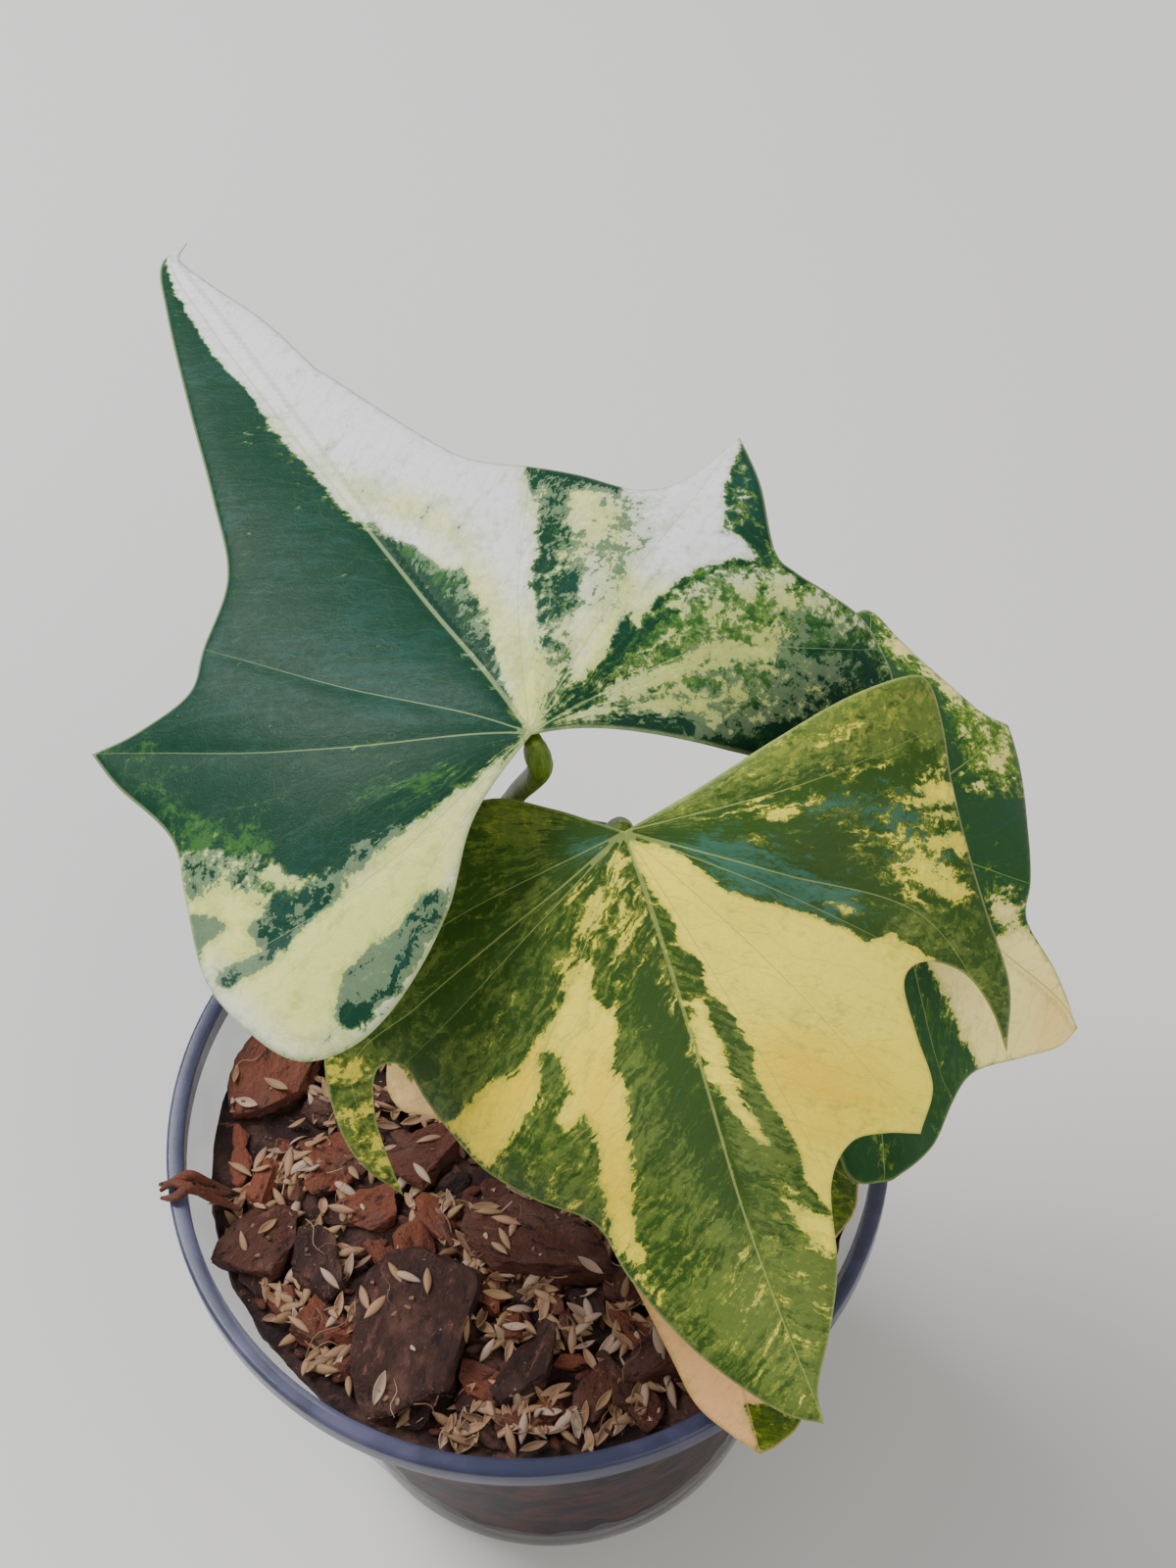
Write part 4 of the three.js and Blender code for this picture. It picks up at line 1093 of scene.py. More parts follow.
def variegation_group():
    """The colour, roughness and relief of a variegated blade, from the marks on its mesh."""
    tree = bpy.data.node_groups.new("variegation", "ShaderNodeTree")
    for name in ("Cool", "Dark", "Mid", "Bright", "Veil", "Pale", "Warm_pale", "Vein", "Underside"):
        tree.interface.new_socket(name, in_out="INPUT", socket_type="NodeSocketColor")
    for name, value in (("Speckle", 1.0), ("Streak", 1.0), ("Vein_strength", 0.55), ("Seed", 0.0)):
        tree.interface.new_socket(name, in_out="INPUT", socket_type="NodeSocketFloat").default_value = value
    tree.interface.new_socket("Colour", in_out="OUTPUT", socket_type="NodeSocketColor")
    tree.interface.new_socket("Roughness", in_out="OUTPUT", socket_type="NodeSocketFloat")
    tree.interface.new_socket("Height", in_out="OUTPUT", socket_type="NodeSocketFloat")
    given = tree.nodes.new("NodeGroupInput").outputs
    result = tree.nodes.new("NodeGroupOutput")

    def mark(name):
        """A mark of the mesh."""
        return mark_of(tree, name).outputs["Fac"]

    def along_flow(across, ahead):
        """A place measured along the flow of the streaks and across it."""
        return add_node(
            tree, "ShaderNodeVectorMath", {"operation": "MULTIPLY"}, _0=flow, _1=(across, ahead, 1.0)
        ).outputs[0]

    def swing(value, amount):
        """Noise from 0 to 1 turned into a swing to either side of 0."""
        return sum_of(tree, "MULTIPLY_ADD", value, amount, -0.5 * amount)

    def total(*values):
        """The sum of several values."""
        result_so_far = values[0]
        for value in values[1:]:
            result_so_far = sum_of(tree, "ADD", result_so_far, value)
        return result_so_far

    place = object_place(tree)
    bend = swing(noise_of(tree, place, 160.0, 4.0, 0.6), 7.0)
    line, out = mark("line"), mark("out")
    flow = add_node(tree, "ShaderNodeCombineXYZ", X=total(line, bend), Y=out, Z=given["Seed"]).outputs[0]
    streak = noise_of(tree, along_flow(0.22, 0.035), 1.0, 4.0, 0.65)
    thread = noise_of(tree, along_flow(0.75, 0.13), 1.0, 5.0, 0.7)
    second_thread = noise_of(tree, along_flow(0.9, 0.2), 1.3, 5.0, 0.7)
    blotch = noise_of(tree, place, 210.0, 6.0, 0.68)
    speckle = noise_of(tree, place, 620.0, 5.0, 0.7)
    cloud = noise_of(tree, place, 45.0, 3.0, 0.6)
    fine = noise_of(tree, place, 2600.0, 3.0, 0.6)

    streaks = sum_of(tree, "MULTIPLY", total(swing(streak, 0.9), swing(thread, 0.8)), given["Streak"])
    speckles = sum_of(tree, "MULTIPLY", total(swing(blotch, 1.1), swing(speckle, 0.8)), given["Speckle"])
    paleness = total(mark("pale"), streaks, speckles)
    greenness = total(mark("tone"), swing(thread, 1.5), swing(speckle, 0.7), swing(cloud, 0.9))
    brightness = total(mark("tone"), swing(second_thread, 1.7), swing(speckle, 1.3), swing(blotch, 0.7))
    colour = blend_of(tree, step_of(tree, greenness, -0.30, 0.05), given["Cool"], given["Dark"])
    colour = blend_of(tree, step_of(tree, greenness, 0.25, 0.60), colour, given["Mid"])
    flecks = sum_of(tree, "MULTIPLY", step_of(tree, brightness, 0.62, 0.82), 0.62)
    colour = blend_of(tree, flecks, colour, given["Bright"])
    fringe = sum_of(tree, "MULTIPLY", step_of(tree, paleness, 0.28, 0.44), 0.4)
    colour = blend_of(tree, fringe, colour, given["Bright"])
    thin_green = total(paleness, mark("thin"), swing(second_thread, 0.8), swing(cloud, 0.6))
    veil = sum_of(tree, "MULTIPLY", step_of(tree, thin_green, 0.49, 0.53), 0.8)
    colour = blend_of(tree, veil, colour, given["Veil"])
    warmth = total(mark("warm"), swing(streak, 0.7), swing(cloud, 0.5))
    light = blend_of(tree, step_of(tree, warmth, 0.1, 0.9), given["Pale"], given["Warm_pale"])
    tinge = sum_of(tree, "MULTIPLY", step_of(tree, paleness, 0.98, 0.6), 0.4)
    light = blend_of(tree, tinge, light, given["Bright"])
    is_pale = step_of(tree, paleness, 0.46, 0.54)
    colour = blend_of(tree, is_pale, colour, light)
    wander = total(line, swing(noise_of(tree, place, 90.0), 9.0))
    phase = sum_of(tree, "FRACT", sum_of(tree, "DIVIDE", wander, SIDE_SPACING))
    away = sum_of(tree, "ABSOLUTE", sum_of(tree, "SUBTRACT", phase, 0.5))
    side_vein = sum_of(tree, "MULTIPLY", step_of(tree, away, 0.045, 0.015), 0.5)
    stretched = along_flow(0.16, 0.13)
    cells = add_node(
        tree, "ShaderNodeTexVoronoi", {"feature": "DISTANCE_TO_EDGE"}, Vector=stretched, Scale=1.0
    ).outputs["Distance"]
    net_vein = sum_of(tree, "MULTIPLY", step_of(tree, cells, 0.035, 0.005), 0.35)
    main_vein = sum_of(tree, "MULTIPLY", step_of(tree, mark("vein"), 1.5, 0.7), given["Vein_strength"])
    small_veins = sum_of(tree, "MAXIMUM", side_vein, net_vein)
    shown = sum_of(tree, "MULTIPLY", small_veins, sum_of(tree, "MULTIPLY_ADD", is_pale, 0.34, 0.04))
    colour = blend_of(tree, sum_of(tree, "MAXIMUM", main_vein, shown), colour, given["Vein"])
    rim = sum_of(tree, "MULTIPLY", step_of(tree, mark("margin"), 0.6, 0.1), 0.5)
    colour = blend_of(tree, rim, colour, given["Vein"])
    dull = sum_of(tree, "MULTIPLY", mark("below"), 0.45)
    colour = blend_of(tree, dull, colour, given["Underside"])
    shade = sum_of(tree, "MULTIPLY_ADD", total(fine, speckle), 0.22, 0.78)
    toned = add_node(tree, "ShaderNodeVectorMath", {"operation": "SCALE"}, _0=colour)
    tree.links.new(shade, toned.inputs["Scale"])
    tree.links.new(toned.outputs[0], result.inputs["Colour"])
    dry = sum_of(tree, "MULTIPLY", mark("below"), 0.2)
    sheen = total(sum_of(tree, "MULTIPLY_ADD", speckle, 0.25, 0.3), dry)
    tree.links.new(sheen, result.inputs["Roughness"])
    lift = total(sum_of(tree, "MULTIPLY", fine, 0.4), sum_of(tree, "MULTIPLY", thread, 0.9), blotch)
    sunk = sum_of(tree, "MULTIPLY", small_veins, sum_of(tree, "MULTIPLY_ADD", is_pale, 0.5, 0.12))
    grooves = total(sunk, main_vein)
    tree.links.new(sum_of(tree, "SUBTRACT", lift, grooves), result.inputs["Height"])
    return tree


variegation = variegation_group()


def leaf_skin(name, colours, **amounts):
    """A leaf's own skin: the shared variegation with its colours and amounts."""
    skin, shader = bare_material(name, Specular_IOR_Level=0.12)
    tree = skin.node_tree
    marks = tree.nodes.new("ShaderNodeGroup")
    marks.node_tree = variegation
    for key, value in colours.items():
        marks.inputs[key].default_value = paint(value)
    for key, value in amounts.items():
        marks.inputs[key].default_value = value
    link(skin, marks.outputs["Colour"], shader.inputs["Base Color"])
    link(skin, marks.outputs["Roughness"], shader.inputs["Roughness"])
    bumped(skin, shader, marks.outputs["Height"], 0.6, 0.22)
    return skin


# A vein is the number of the edge point that it runs to, and the points on its way there. A patch
# of a marking is its strength, the width over which it fades, and its corners.
BACK = {
    "junction": (7.5, 18.5, 240),
    "heading": 117.4,
    "pitch": -5.2,
    "roll": 4.9,
    "seat": 1.5,
    "edge": [
        (-63, -20, -23), (-68, -11, -21), (-70, 2, -19), (-66, 17, -16), (-62.5, 29, -13),
        (-66, 45, -12), (-67, 55, -12, TIP), (-57.5, 51, -8), (-46.5, 49, -3), (-40, 55, -1),
        (-29, 66, 1), (-23, 84, 3), (-16.5, 109, 3), (-8.5, 138, 2), (-3, 154, 0),
        (6, 165, -7, TIP), (1, 153, 0), (3, 140, 1), (7, 122, 2), (9, 104, 3), (11, 98, 2),
        (19, 72, 1), (24, 63, 0), (32, 57, -2), (39, 51, -4), (47, 42, -6), (56, 40, -7),
        (71, 45, -10, TIP), (68, 33, -11), (62, 19, -13), (63, 14, -15), (67, 9.5, -20),
        (71, 5, -26), (72, 0, -32), (71, -5, -38), (63, -13, -43), (48, -13, -36), (34, -8, -25),
        (23, -5, -14), (10, -2, -4), (0, 0, 0, TIP), (-16, -6, -5), (-28, -15.5, -12),
        (-41, -21.5, -18), (-53, -23, -23),
    ],
    "veins": [
        (2, (-36, -4, -8)),
        (6, (-34, 22, -1)),
        (9, (-22, 28, 1)),
        (15, (-1, 33, 1), (-2, 66, 2), (-3, 99, 3), (-3, 130, 3), (-1, 153, 1)),
        (23, (14, 29, 1)),
        (27, (34, 22, -2)),
        (33, (36, 5, -9)),
    ],
    "vein_widths": [0.15, 0.16, 0.14, 0.42, 0.14, 0.2, 0.15],
    "pale_ground": 0.0,
    "pale": [
        (1, 0.4, [(0, 159), (-4, 146), (-5, 135), (-6, 124), (-6, 114), (-5, 105), (-5, 90),
            (-4, 79), (-3, 63), (0, 60), (1, 54), (4, 50), (5, 42), (9, 40), (7, 34), (7, 28),
            (4, 20), (1, 10), (0, 0), (2, 0), (7, 7), (12, 16), (17, 28), (24, 39), (28, 46),
            (29, 52), (32, 60), (26, 66), (21, 76), (12, 101), (9, 126), (5, 146), (6, 168),
            (1, 168)]),
        (0.3, 1.5, [(31, 57), (35, 54), (44, 44), (49, 38), (33, 18), (23, 12), (11, 6), (2, 1),
            (10, 18), (23, 39)]),
        (0.74, 5.0, [(-5, 97), (0, 76), (10, 63), (15, 48), (11, 32), (8, 15), (4, 2), (0, 0),
            (4, 22), (9, 40), (5, 54), (-2, 64)]),
        (0.95, 0.6, [(45, 45), (48, 43), (54, 42), (72, 47), (71, 43), (64, 37), (60, 33),
            (58, 29), (54, 25), (57, 24), (58, 20), (57, 17), (52, 19), (44, 18), (39, 17),
            (31, 13), (28, 11), (29, 14), (25, 11), (17, 7), (13, 6), (13, 9), (18, 14), (17, 16),
            (22, 20), (29, 29), (34, 36), (30, 37), (32, 42), (36, 47), (39, 45), (38, 41),
            (41, 39)]),
        (0.5, 2.0, [(39, 45), (45, 41), (49, 38), (42, 29), (33, 18), (23, 12), (21, 18), (30, 32)]),
        (0.5, 1.5, [(4, 0), (11, 3), (19, 7), (28, 10), (36, 15), (47, 17), (58, 18), (62, 18),
            (64, 12), (72, 5), (74, -2), (69, -8), (55, -6), (38, -7), (34, -8), (20, -4), (10, -2)]),
        (0.7, 1.5, [(8, 0), (17, 3), (28, 4), (37, 4), (48, 5), (49, 3), (37, 2), (27, 1), (16, 0)]),
        (0.16, 1.0, [(26, 13), (29, 14), (27, 10), (23, 8), (18, 5), (22, 9)]),
        (0.33, 1.5, [(28, 10), (36, 12), (40, 10), (40, 7), (32, 5), (26, 5), (18, 4), (12, 1),
            (10, 2), (20, 6)]),
        (0.12, 2.0, [(57, 5), (63, 5), (70, 1), (69, -4), (57, -2), (53, 1)]),
        (0.3, 2.0, [(44, 2), (54, 1), (61, -4), (51, -5), (40, -4), (35, -1)]),
        (0.12, 1.0, [(10, -2), (19, -2), (29, -4), (37, -7), (35, -9), (19, -5)]),
        (0.42, 1.0, [(63, 36), (71, 44), (68, 34), (63, 23), (61, 23), (57, 24), (54, 25), (58, 29)]),
        (0.25, 1.0, [(61, 24), (63, 22), (63, 15), (58, 16), (58, 20)]),
        (0.93, 1.0, [(-64, 27), (-59, 21), (-52, 13), (-50, 10), (-48, 5), (-43, 1), (-39, 0),
            (-36, 2), (-32, -1), (-28, -1), (-23, -1), (-16, -1), (-7, -1), (-3, -1), (0, 0),
            (-11, -6), (-19, -10), (-26, -16), (-37, -22), (-49, -24), (-64, -21), (-72, -6),
            (-70, 14)]),
        (0.42, 1.2, [(-64, 27), (-57, 19), (-50, 11), (-51, 7), (-49, 3), (-51, 2), (-56, 7),
            (-59, 13), (-63, 14), (-67, 17)]),
        (0.1, 0.8, [(-67, 14), (-62, 10), (-62, 7), (-67, 7), (-71, 4)]),
        (0.06, 0.8, [(-60, 4), (-52, 4), (-45, 2), (-40, 0), (-37, 1), (-35, 1), (-28, 0),
            (-34, -1), (-43, -3), (-48, -3), (-53, -3), (-57, -4), (-62, -4), (-68, -2), (-69, 1),
            (-63, 0), (-59, -1)]),
        (0.14, 0.8, [(-53, -16), (-48, -13), (-42, -13), (-36, -13), (-31, -11), (-26, -13),
            (-29, -17), (-36, -19), (-42, -21), (-49, -22), (-54, -21), (-54, -19)]),
    ],
    "tone_ground": 0.0,
    "tone": [
        (0.38, 4, [(-67, 56), (-62, 55), (-57, 50), (-56, 37), (-58, 29), (-63, 28), (-65, 40)]),
        (0.5, 1.5, [(0, 62), (2, 54), (5, 49), (10, 40), (6, 24), (2, 10), (0, 2), (-1, 5),
            (-2, 15), (0, 29), (2, 38), (1, 49)]),
        (0.55, 3, [(-28, 71), (-25, 66), (-29, 60), (-35, 62)]),
        (0.6, 2.5, [(-29, 21), (-23, 17), (-18, 11), (-21, 10), (-29, 15)]),
        (0.55, 3, [(-35, 12), (-23, 7), (-11, 1), (-7, -1), (-17, 0), (-25, 3), (-33, 8)]),
        (0.6, 3, [(-64, 33), (-56, 26), (-47, 14), (-50, 11), (-64, 27)]),
        (0.65, 4, [(4, 0), (11, 3), (19, 7), (36, 15), (47, 17), (62, 18), (72, 5), (74, -2),
            (59, -6), (38, -7), (21, -2), (10, -2)]),
        # These two lighten the lower edge of the right basal lobe, which slopes away from the light: partly
        # its own teal mottling, partly painted light against its shade.
        (0.3, 3, [(57, 5), (63, 5), (70, 1), (69, -4), (57, -2), (53, 1)]),
        (0.15, 2, [(10, -2), (19, -2), (29, -4), (37, -7), (35, -9), (19, -5)]),
        (-0.15, 8, [(-34, 60), (-9, 43), (-1, 17), (-9, 13), (-23, 24), (-34, 49)]),
        (0.4, 3, [(28, 46), (33, 43), (26, 31), (19, 26), (19, 29)]),
    ],
    "warm_ground": 0.0,
    "warm": [
        (1, 3, [(5, 43), (10, 39), (9, 21), (7, 7), (4, 2), (0, 0), (1, 13), (4, 29)]),
        (0.7, 4, [(-5, 97), (0, 76), (10, 63), (15, 48), (11, 32), (8, 15), (4, 2), (0, 0),
            (4, 22), (9, 40), (5, 54), (-2, 64)]),
        (1, 4, [(37, 43), (40, 38), (35, 28), (27, 19), (13, 7), (17, 6), (29, 13), (35, 18),
            (33, 24)]),
        (1, 5, [(-64, 27), (-37, 2), (-1, 0), (-19, -10), (-37, -22), (-64, -21), (-70, 14)]),
        (0.8, 5, [(31, 57), (35, 54), (40, 46), (30, 30), (11, 6), (2, 1), (10, 18), (23, 39)]),
        (0.9, 5, [(4, 0), (28, 10), (36, 15), (46, 15), (61, 15), (74, -2), (68, -9), (34, -8),
            (10, -2)]),
    ],
    "thin_ground": 0.0,
    "thin": [
        (0.2, 2, [(31, 57), (35, 54), (44, 44), (49, 38), (33, 18), (23, 12), (11, 6), (2, 1),
            (10, 18), (23, 39)]),
        (0.15, 3, [(-63, 29), (-48, 11), (-26, 1), (-31, -2), (-51, 2), (-68, 15)]),
        (0.5, 2, [(-67, 18), (-56, 3), (-40, 0), (-28, 0), (-33, -3), (-43, -3), (-53, -3),
            (-62, -4), (-70, 0), (-74, 5)]),
        (0.6, 2, [(-53, -16), (-48, -13), (-36, -13), (-26, -13), (-29, -17), (-39, -20),
            (-46, -20)]),
        (0.3, 2, [(39, 45), (45, 41), (49, 38), (42, 29), (33, 18), (23, 12), (21, 18), (30, 32)]),
        # This one lightens the same lower edge of the right basal lobe: partly its own grey-green veil,
        # partly painted light against its shade.
        (0.32, 3, [(10, -2), (19, -1), (38, -6), (58, 5), (70, 1), (69, -4), (55, -6), (36, -9),
            (19, -5)]),
        (0.3, 2, [(0, 62), (5, 49), (10, 40), (6, 24), (1, 5), (-2, 15), (2, 38)]),
    ],
}
BACK_COLOURS = {
    "Cool": "#1a4236",
    "Dark": "#123826",
    "Mid": "#35602a",
    "Bright": "#7c9a44",
    "Veil": "#6a8060",
    "Pale": "#dcdadd",
    "Warm_pale": "#d2d678",
    "Vein": "#a3b87c",
    "Underside": "#8ea06a",
}
back_skin = leaf_skin("leaf_back_skin", BACK_COLOURS, Seed=3.0, Vein_strength=0.45)
make_blade("back", BACK, back_skin)


# The leaf at the front: yellow and green, it slopes down to the viewer and drops its pointed side
# spurs over the rim. Its lobes are dark green and its midrib is pale.
FRONT = {
    "junction": (23, 8.5, 222),
    "heading": -71.9,
    "pitch": -34.4,
    "roll": -4,
    "seat": 1.1,
    "edge": [
        (-60, -10, -6), (-64, -7, -10), (-64, 1, -10), (-62, 12, -9), (-61, 25, -9),
        (-61, 37, -10), (-62, 52, -15), (-59, 65, -22, TIP), (-57, 55, -14), (-53, 46, -9),
        (-46, 41, -6), (-41, 43, -5), (-40.5, 53.5, -7), (-41, 64.5, -10), (-37, 73, -16, TIP),
        (-30, 70, -13), (-23, 69, -10), (-17, 75, -10), (-13, 89, -7), (-8, 99, -6),
        (-2, 108, -3), (-1, 115, -4, TIP), (6.5, 109.5, -4), (17, 95, -6), (24, 79, -8),
        (27, 67, -8), (36, 59, -8), (43, 51, -10), (47, 42, -13), (49, 36, -15), (51, 29, -17),
        (56, 29, -22), (59, 39, -32), (59, 57, -49, TIP), (64, 48, -37), (66, 39, -29),
        (65, 26, -23), (60, 13, -20), (51, 2, -19), (34, -11, -17), (21, -13, -11), (11, -8, -4),
        (0, 0, 0, TIP), (-14, -3, 2), (-30, -7, 3), (-46, -10, 0),
    ],
    "veins": [
        (2, (-32, 2, 4)),
        (7, (-24, 16, 4), (-48, 33, -3)),
        (10, (-24, 20, 1)),
        (14, (-19, 34, 0)),
        (17, (-9, 37, -1)),
        (21, (0, 38, -1), (1, 77, -2)),
        (27, (21, 27, -2)),
        (30, (25, 14, -4)),
        (33, (14, 6, -1), (29, 12, -5), (45, 19, -12), (60, 27, -22)),
        (37, (30, 5, -9)),
    ],
    "vein_widths": [0.13, 0.16, 0.12, 0.14, 0.12, 0.4, 0.12, 0.14, 0.18, 0.12],
    "pale_ground": 0.0,
    "pale": [
        (1, 0.5, [(0, 1), (0, 6), (-1, 11), (-3, 17), (-3, 22), (-6, 27), (-5, 32), (-8, 37),
            (-10, 45), (-9, 49), (-10, 55), (-12, 62), (-13, 68), (-12, 72), (-15, 79), (-16, 84),
            (-19, 76), (-23, 70), (-29, 70), (-38, 75), (-42, 65), (-41, 45), (-45, 41), (-47, 41),
            (-43, 38), (-41, 35), (-36, 34), (-32, 29), (-28, 26), (-23, 22), (-18, 19), (-14, 16),
            (-12, 13), (-8, 7), (-3, 3)]),
        (0.45, 1.5, [(1, 5), (0, 11), (-1, 16), (-1, 24), (-2, 32), (-2, 40), (-1, 48), (1, 44),
            (2, 35), (3, 26), (3, 18)]),
        (0.95, 0.8, [(-2, 32), (-4, 33), (-4, 38), (-5, 44), (-5, 49), (-6, 55), (-7, 62),
            (-5, 60), (-2, 53), (-1, 47), (-1, 40)]),
        (0.97, 1.0, [(18, 22), (14, 20), (15, 26), (13, 30), (11, 28), (13, 35), (15, 40),
            (14, 44), (16, 51), (18, 58), (20, 65), (21, 71), (20, 77), (19, 80), (20, 84),
            (23, 79), (25, 73), (24, 66), (24, 60), (24, 52), (23, 46), (27, 48), (28, 46),
            (30, 42), (29, 38), (27, 31), (23, 28)]),
        (0.1, 0.9, [(26, 33), (24, 35), (24, 39), (26, 43), (29, 43), (30, 40), (28, 36)]),
        (0.16, 1.0, [(42, 50), (38, 47), (34, 45), (30, 43), (28, 47), (27, 48), (23, 46),
            (23, 50), (24, 58), (27, 63), (25, 69), (31, 65), (37, 59), (43, 54)]),
        (0.96, 1.0, [(47, 41), (43, 39), (37, 35), (32, 35), (28, 32), (29, 39), (31, 42),
            (34, 44), (38, 47), (42, 50), (45, 46)]),
        (0.42, 1.5, [(4, 3), (2, 4), (3, 13), (5, 22), (8, 29), (11, 26), (11, 21), (7, 13)]),
        (0.46, 1.5, [(12, 7), (9, 6), (3, 3), (3, 6), (6, 12), (10, 17), (14, 20), (20, 25),
            (23, 26), (19, 17)]),
        (0.2, 3.0, [(23, 76), (4, 77), (-15, 84), (-9, 101), (-1, 117), (9, 108), (21, 85)]),
        (0.85, 1.0, [(-9, 77), (-15, 80), (-16, 84), (-12, 87), (-9, 83)]),
        (0.75, 1.2, [(-6, 68), (-8, 71), (-11, 77), (-12, 83), (-8, 80), (-6, 74)]),
        (0.36, 2, [(-13, 2), (-25, 2), (-42, 3), (-62, 8), (-61, 33), (-45, 30), (-35, 14),
            (-23, 7)]),
        (0.85, 0.8, [(-54, 10), (-59, 10), (-63, 13), (-63, 15), (-58, 13)]),
        (0.75, 1.2, [(-45, 20), (-50, 21), (-56, 28), (-58, 32), (-55, 32), (-48, 25)]),
        (0.62, 1.2, [(-40, 15), (-47, 15), (-58, 21), (-59, 24), (-48, 20)]),
        (0.6, 1.5, [(-32, 24), (-35, 26), (-39, 29), (-36, 28), (-33, 27)]),
        (0.85, 0.8, [(-37, 34), (-41, 33), (-44, 37), (-48, 42), (-44, 41), (-40, 38)]),
        (0.4, 1.5, [(64, 22), (57, 26), (57, 39), (59, 58), (64, 50), (68, 35)]),
        (0.3, 3, [(-4, 0), (-15, -3), (-29, -8), (-47, -10), (-64, -9), (-66, -2), (-45, 0),
            (-21, 0)]),
    ],
    "tone_ground": 0.42,
    "tone": [
        (0.58, 5, [(22, 76), (5, 79), (-15, 84), (-9, 101), (-1, 117), (9, 108), (21, 85)]),
        (0.15, 2, [(4, 18), (3, 26), (2, 39), (1, 53), (-1, 68), (4, 72), (7, 58), (8, 44), (6, 30)]),
        (-0.35, 3, [(-3, 3), (-12, 12), (-15, 17), (-31, 29), (-37, 34), (-37, 24), (-26, 13),
            (-15, 5), (-5, 2)]),
        (-0.3, 2.5, [(11, -3), (1, -1), (4, 4), (12, 3)]),
        (-0.05, 4, [(-20, 1), (-42, 3), (-62, 8), (-61, 33), (-51, 29), (-40, 15)]),
        (0.75, 3, [(-4, 0), (-15, -3), (-29, -8), (-47, -10), (-64, -9), (-66, -2), (-45, 0),
            (-21, 0)]),
        (0.6, 3, [(64, 22), (57, 26), (57, 39), (59, 58), (64, 50), (68, 35)]),
        (0.7, 3, [(22, -13), (18, -13), (9, -5), (16, -5), (23, -5)]),
        (0.3, 4, [(26, -2), (17, -1), (21, 14), (32, 25), (44, 29), (52, 27), (40, 13)]),
    ],
    "warm_ground": 0.25,
    "warm": [
        (0.65, 5, [(-7, 42), (-22, 44), (-31, 55), (-29, 64), (-16, 65), (-9, 54)]),
        (0.6, 4, [(13, 29), (13, 44), (18, 58), (20, 84), (24, 66), (27, 48), (29, 38)]),
        (0.7, 3, [(47, 41), (28, 32), (29, 39), (42, 50)]),
        (0.05, 4, [(-5, 25), (-20, 31), (-36, 37), (-40, 46), (-27, 41), (-16, 34)]),
    ],
    "thin_ground": 0.0,
    "thin": [],
}
FRONT_COLOURS = {
    "Cool": "#3c6852",
    "Dark": "#304c1a",
    "Mid": "#5f7230",
    "Bright": "#8d9638",
    "Veil": "#b9bd58",
    "Pale": "#fdec50",
    "Warm_pale": "#f0c824",
    "Vein": "#a6b264",
    "Underside": "#8c9048",
}
front_amounts = {"Seed": 8.0, "Streak": 1.6, "Speckle": 0.9, "Vein_strength": 0.5}
front_skin = leaf_skin("leaf_front_skin", FRONT_COLOURS, **front_amounts)
make_blade("front", FRONT, front_skin)


# The leaf at the right: mostly dark green with a cream tip. It shows behind the other two and hangs
# out past the rim.
RIGHT = {
    "junction": (66.5, 21.5, 196),
    "heading": -23.5,
    "pitch": -42.6,
    "roll": -9.1,
    "seat": 2.5,
    "edge": [
        (-55, -24, -58), (-60, -14, -51), (-57, -9, -38), (-55, -5, -31), (-59, -1, -30),
        (-55, 4, -25), (-50, 10, -17), (-46, 20, -10), (-48, 29, -10, TIP), (-39, 34, -6),
        (-27, 38, -1), (-16.5, 42, 2), (-10, 45, 1), (-5, 55, 3), (-2, 64, 1), (-1, 71, -3, TIP),
        (4, 70, -5), (11, 63, -5), (20, 54, -6), (29, 51, -4), (39, 50.5, -3), (45.5, 49.5, -6),
        (48.5, 48.5, -11), (50, 42, -15), (36, 22, -7), (18, 6, 0), (0, 0, 0, TIP),
        (-13, -6, -11), (-29, -14, -30),
    ],
    "veins": [
        (4, (-28, -2, -9)),
        (8, (-22, 14, -2)),
        (11, (-9, 21, 2)),
        (15, (-1, 36, 2)),
        (19, (14, 27, 0)),
        (22, (24, 24, -3)),
    ],
    "vein_widths": [0.2, 0.25, 0.2, 0.4, 0.2, 0.25],
    "pale_ground": 0.12,
    "pale": [
        (0.6, 1.5, [(-65, -3), (-64, 4), (-56, 10), (-50, 19), (-50, 26), (-38, 19), (-40, 12),
            (-47, 6), (-49, 1)]),
        (0.35, 2, [(-42, 15), (-47, 24), (-49, 32), (-37, 35), (-30, 26), (-30, 19)]),
        (0.0, 2, [(-21, 22), (-27, 27), (-32, 35), (-26, 38), (-19, 38), (-11, 30), (-14, 24)]),
        (0.5, 1.2, [(-25, 19), (-35, 33), (-34, 36), (-23, 21)]),
        (0.4, 1.5, [(-9, 28), (-15, 39), (-13, 44), (-9, 34)]),
        (0.65, 1.2, [(-7, 32), (-10, 38), (-9, 44), (-6, 49), (-5, 43), (-5, 36)]),
        (1, 1.0, [(10, 26), (3, 35), (-4, 42), (-7, 48), (-5, 58), (-2, 75), (7, 69), (14, 61),
            (19, 54), (16, 44), (13, 35)]),
    ],
    "tone_ground": 0.2,
    "tone": [
        (0.8, 3, [(-65, -3), (-56, 10), (-50, 26), (-38, 19), (-47, 6)]),
        (0.7, 3, [(-42, 15), (-47, 24), (-49, 32), (-37, 35), (-30, 26), (-30, 19)]),
        (0.0, 2, [(-21, 22), (-27, 27), (-32, 35), (-26, 38), (-19, 38), (-11, 30), (-14, 24)]),
        (0.25, 3, [(15, 25), (13, 35), (19, 54), (38, 49), (48, 44), (48, 40), (40, 42)]),
    ],
    "warm_ground": 0.3,
    "warm": [
        (0.8, 3, [(1, 56), (-3, 62), (-1, 75), (8, 66)]),
    ],
    "thin_ground": 0.0,
    "thin": [],
}
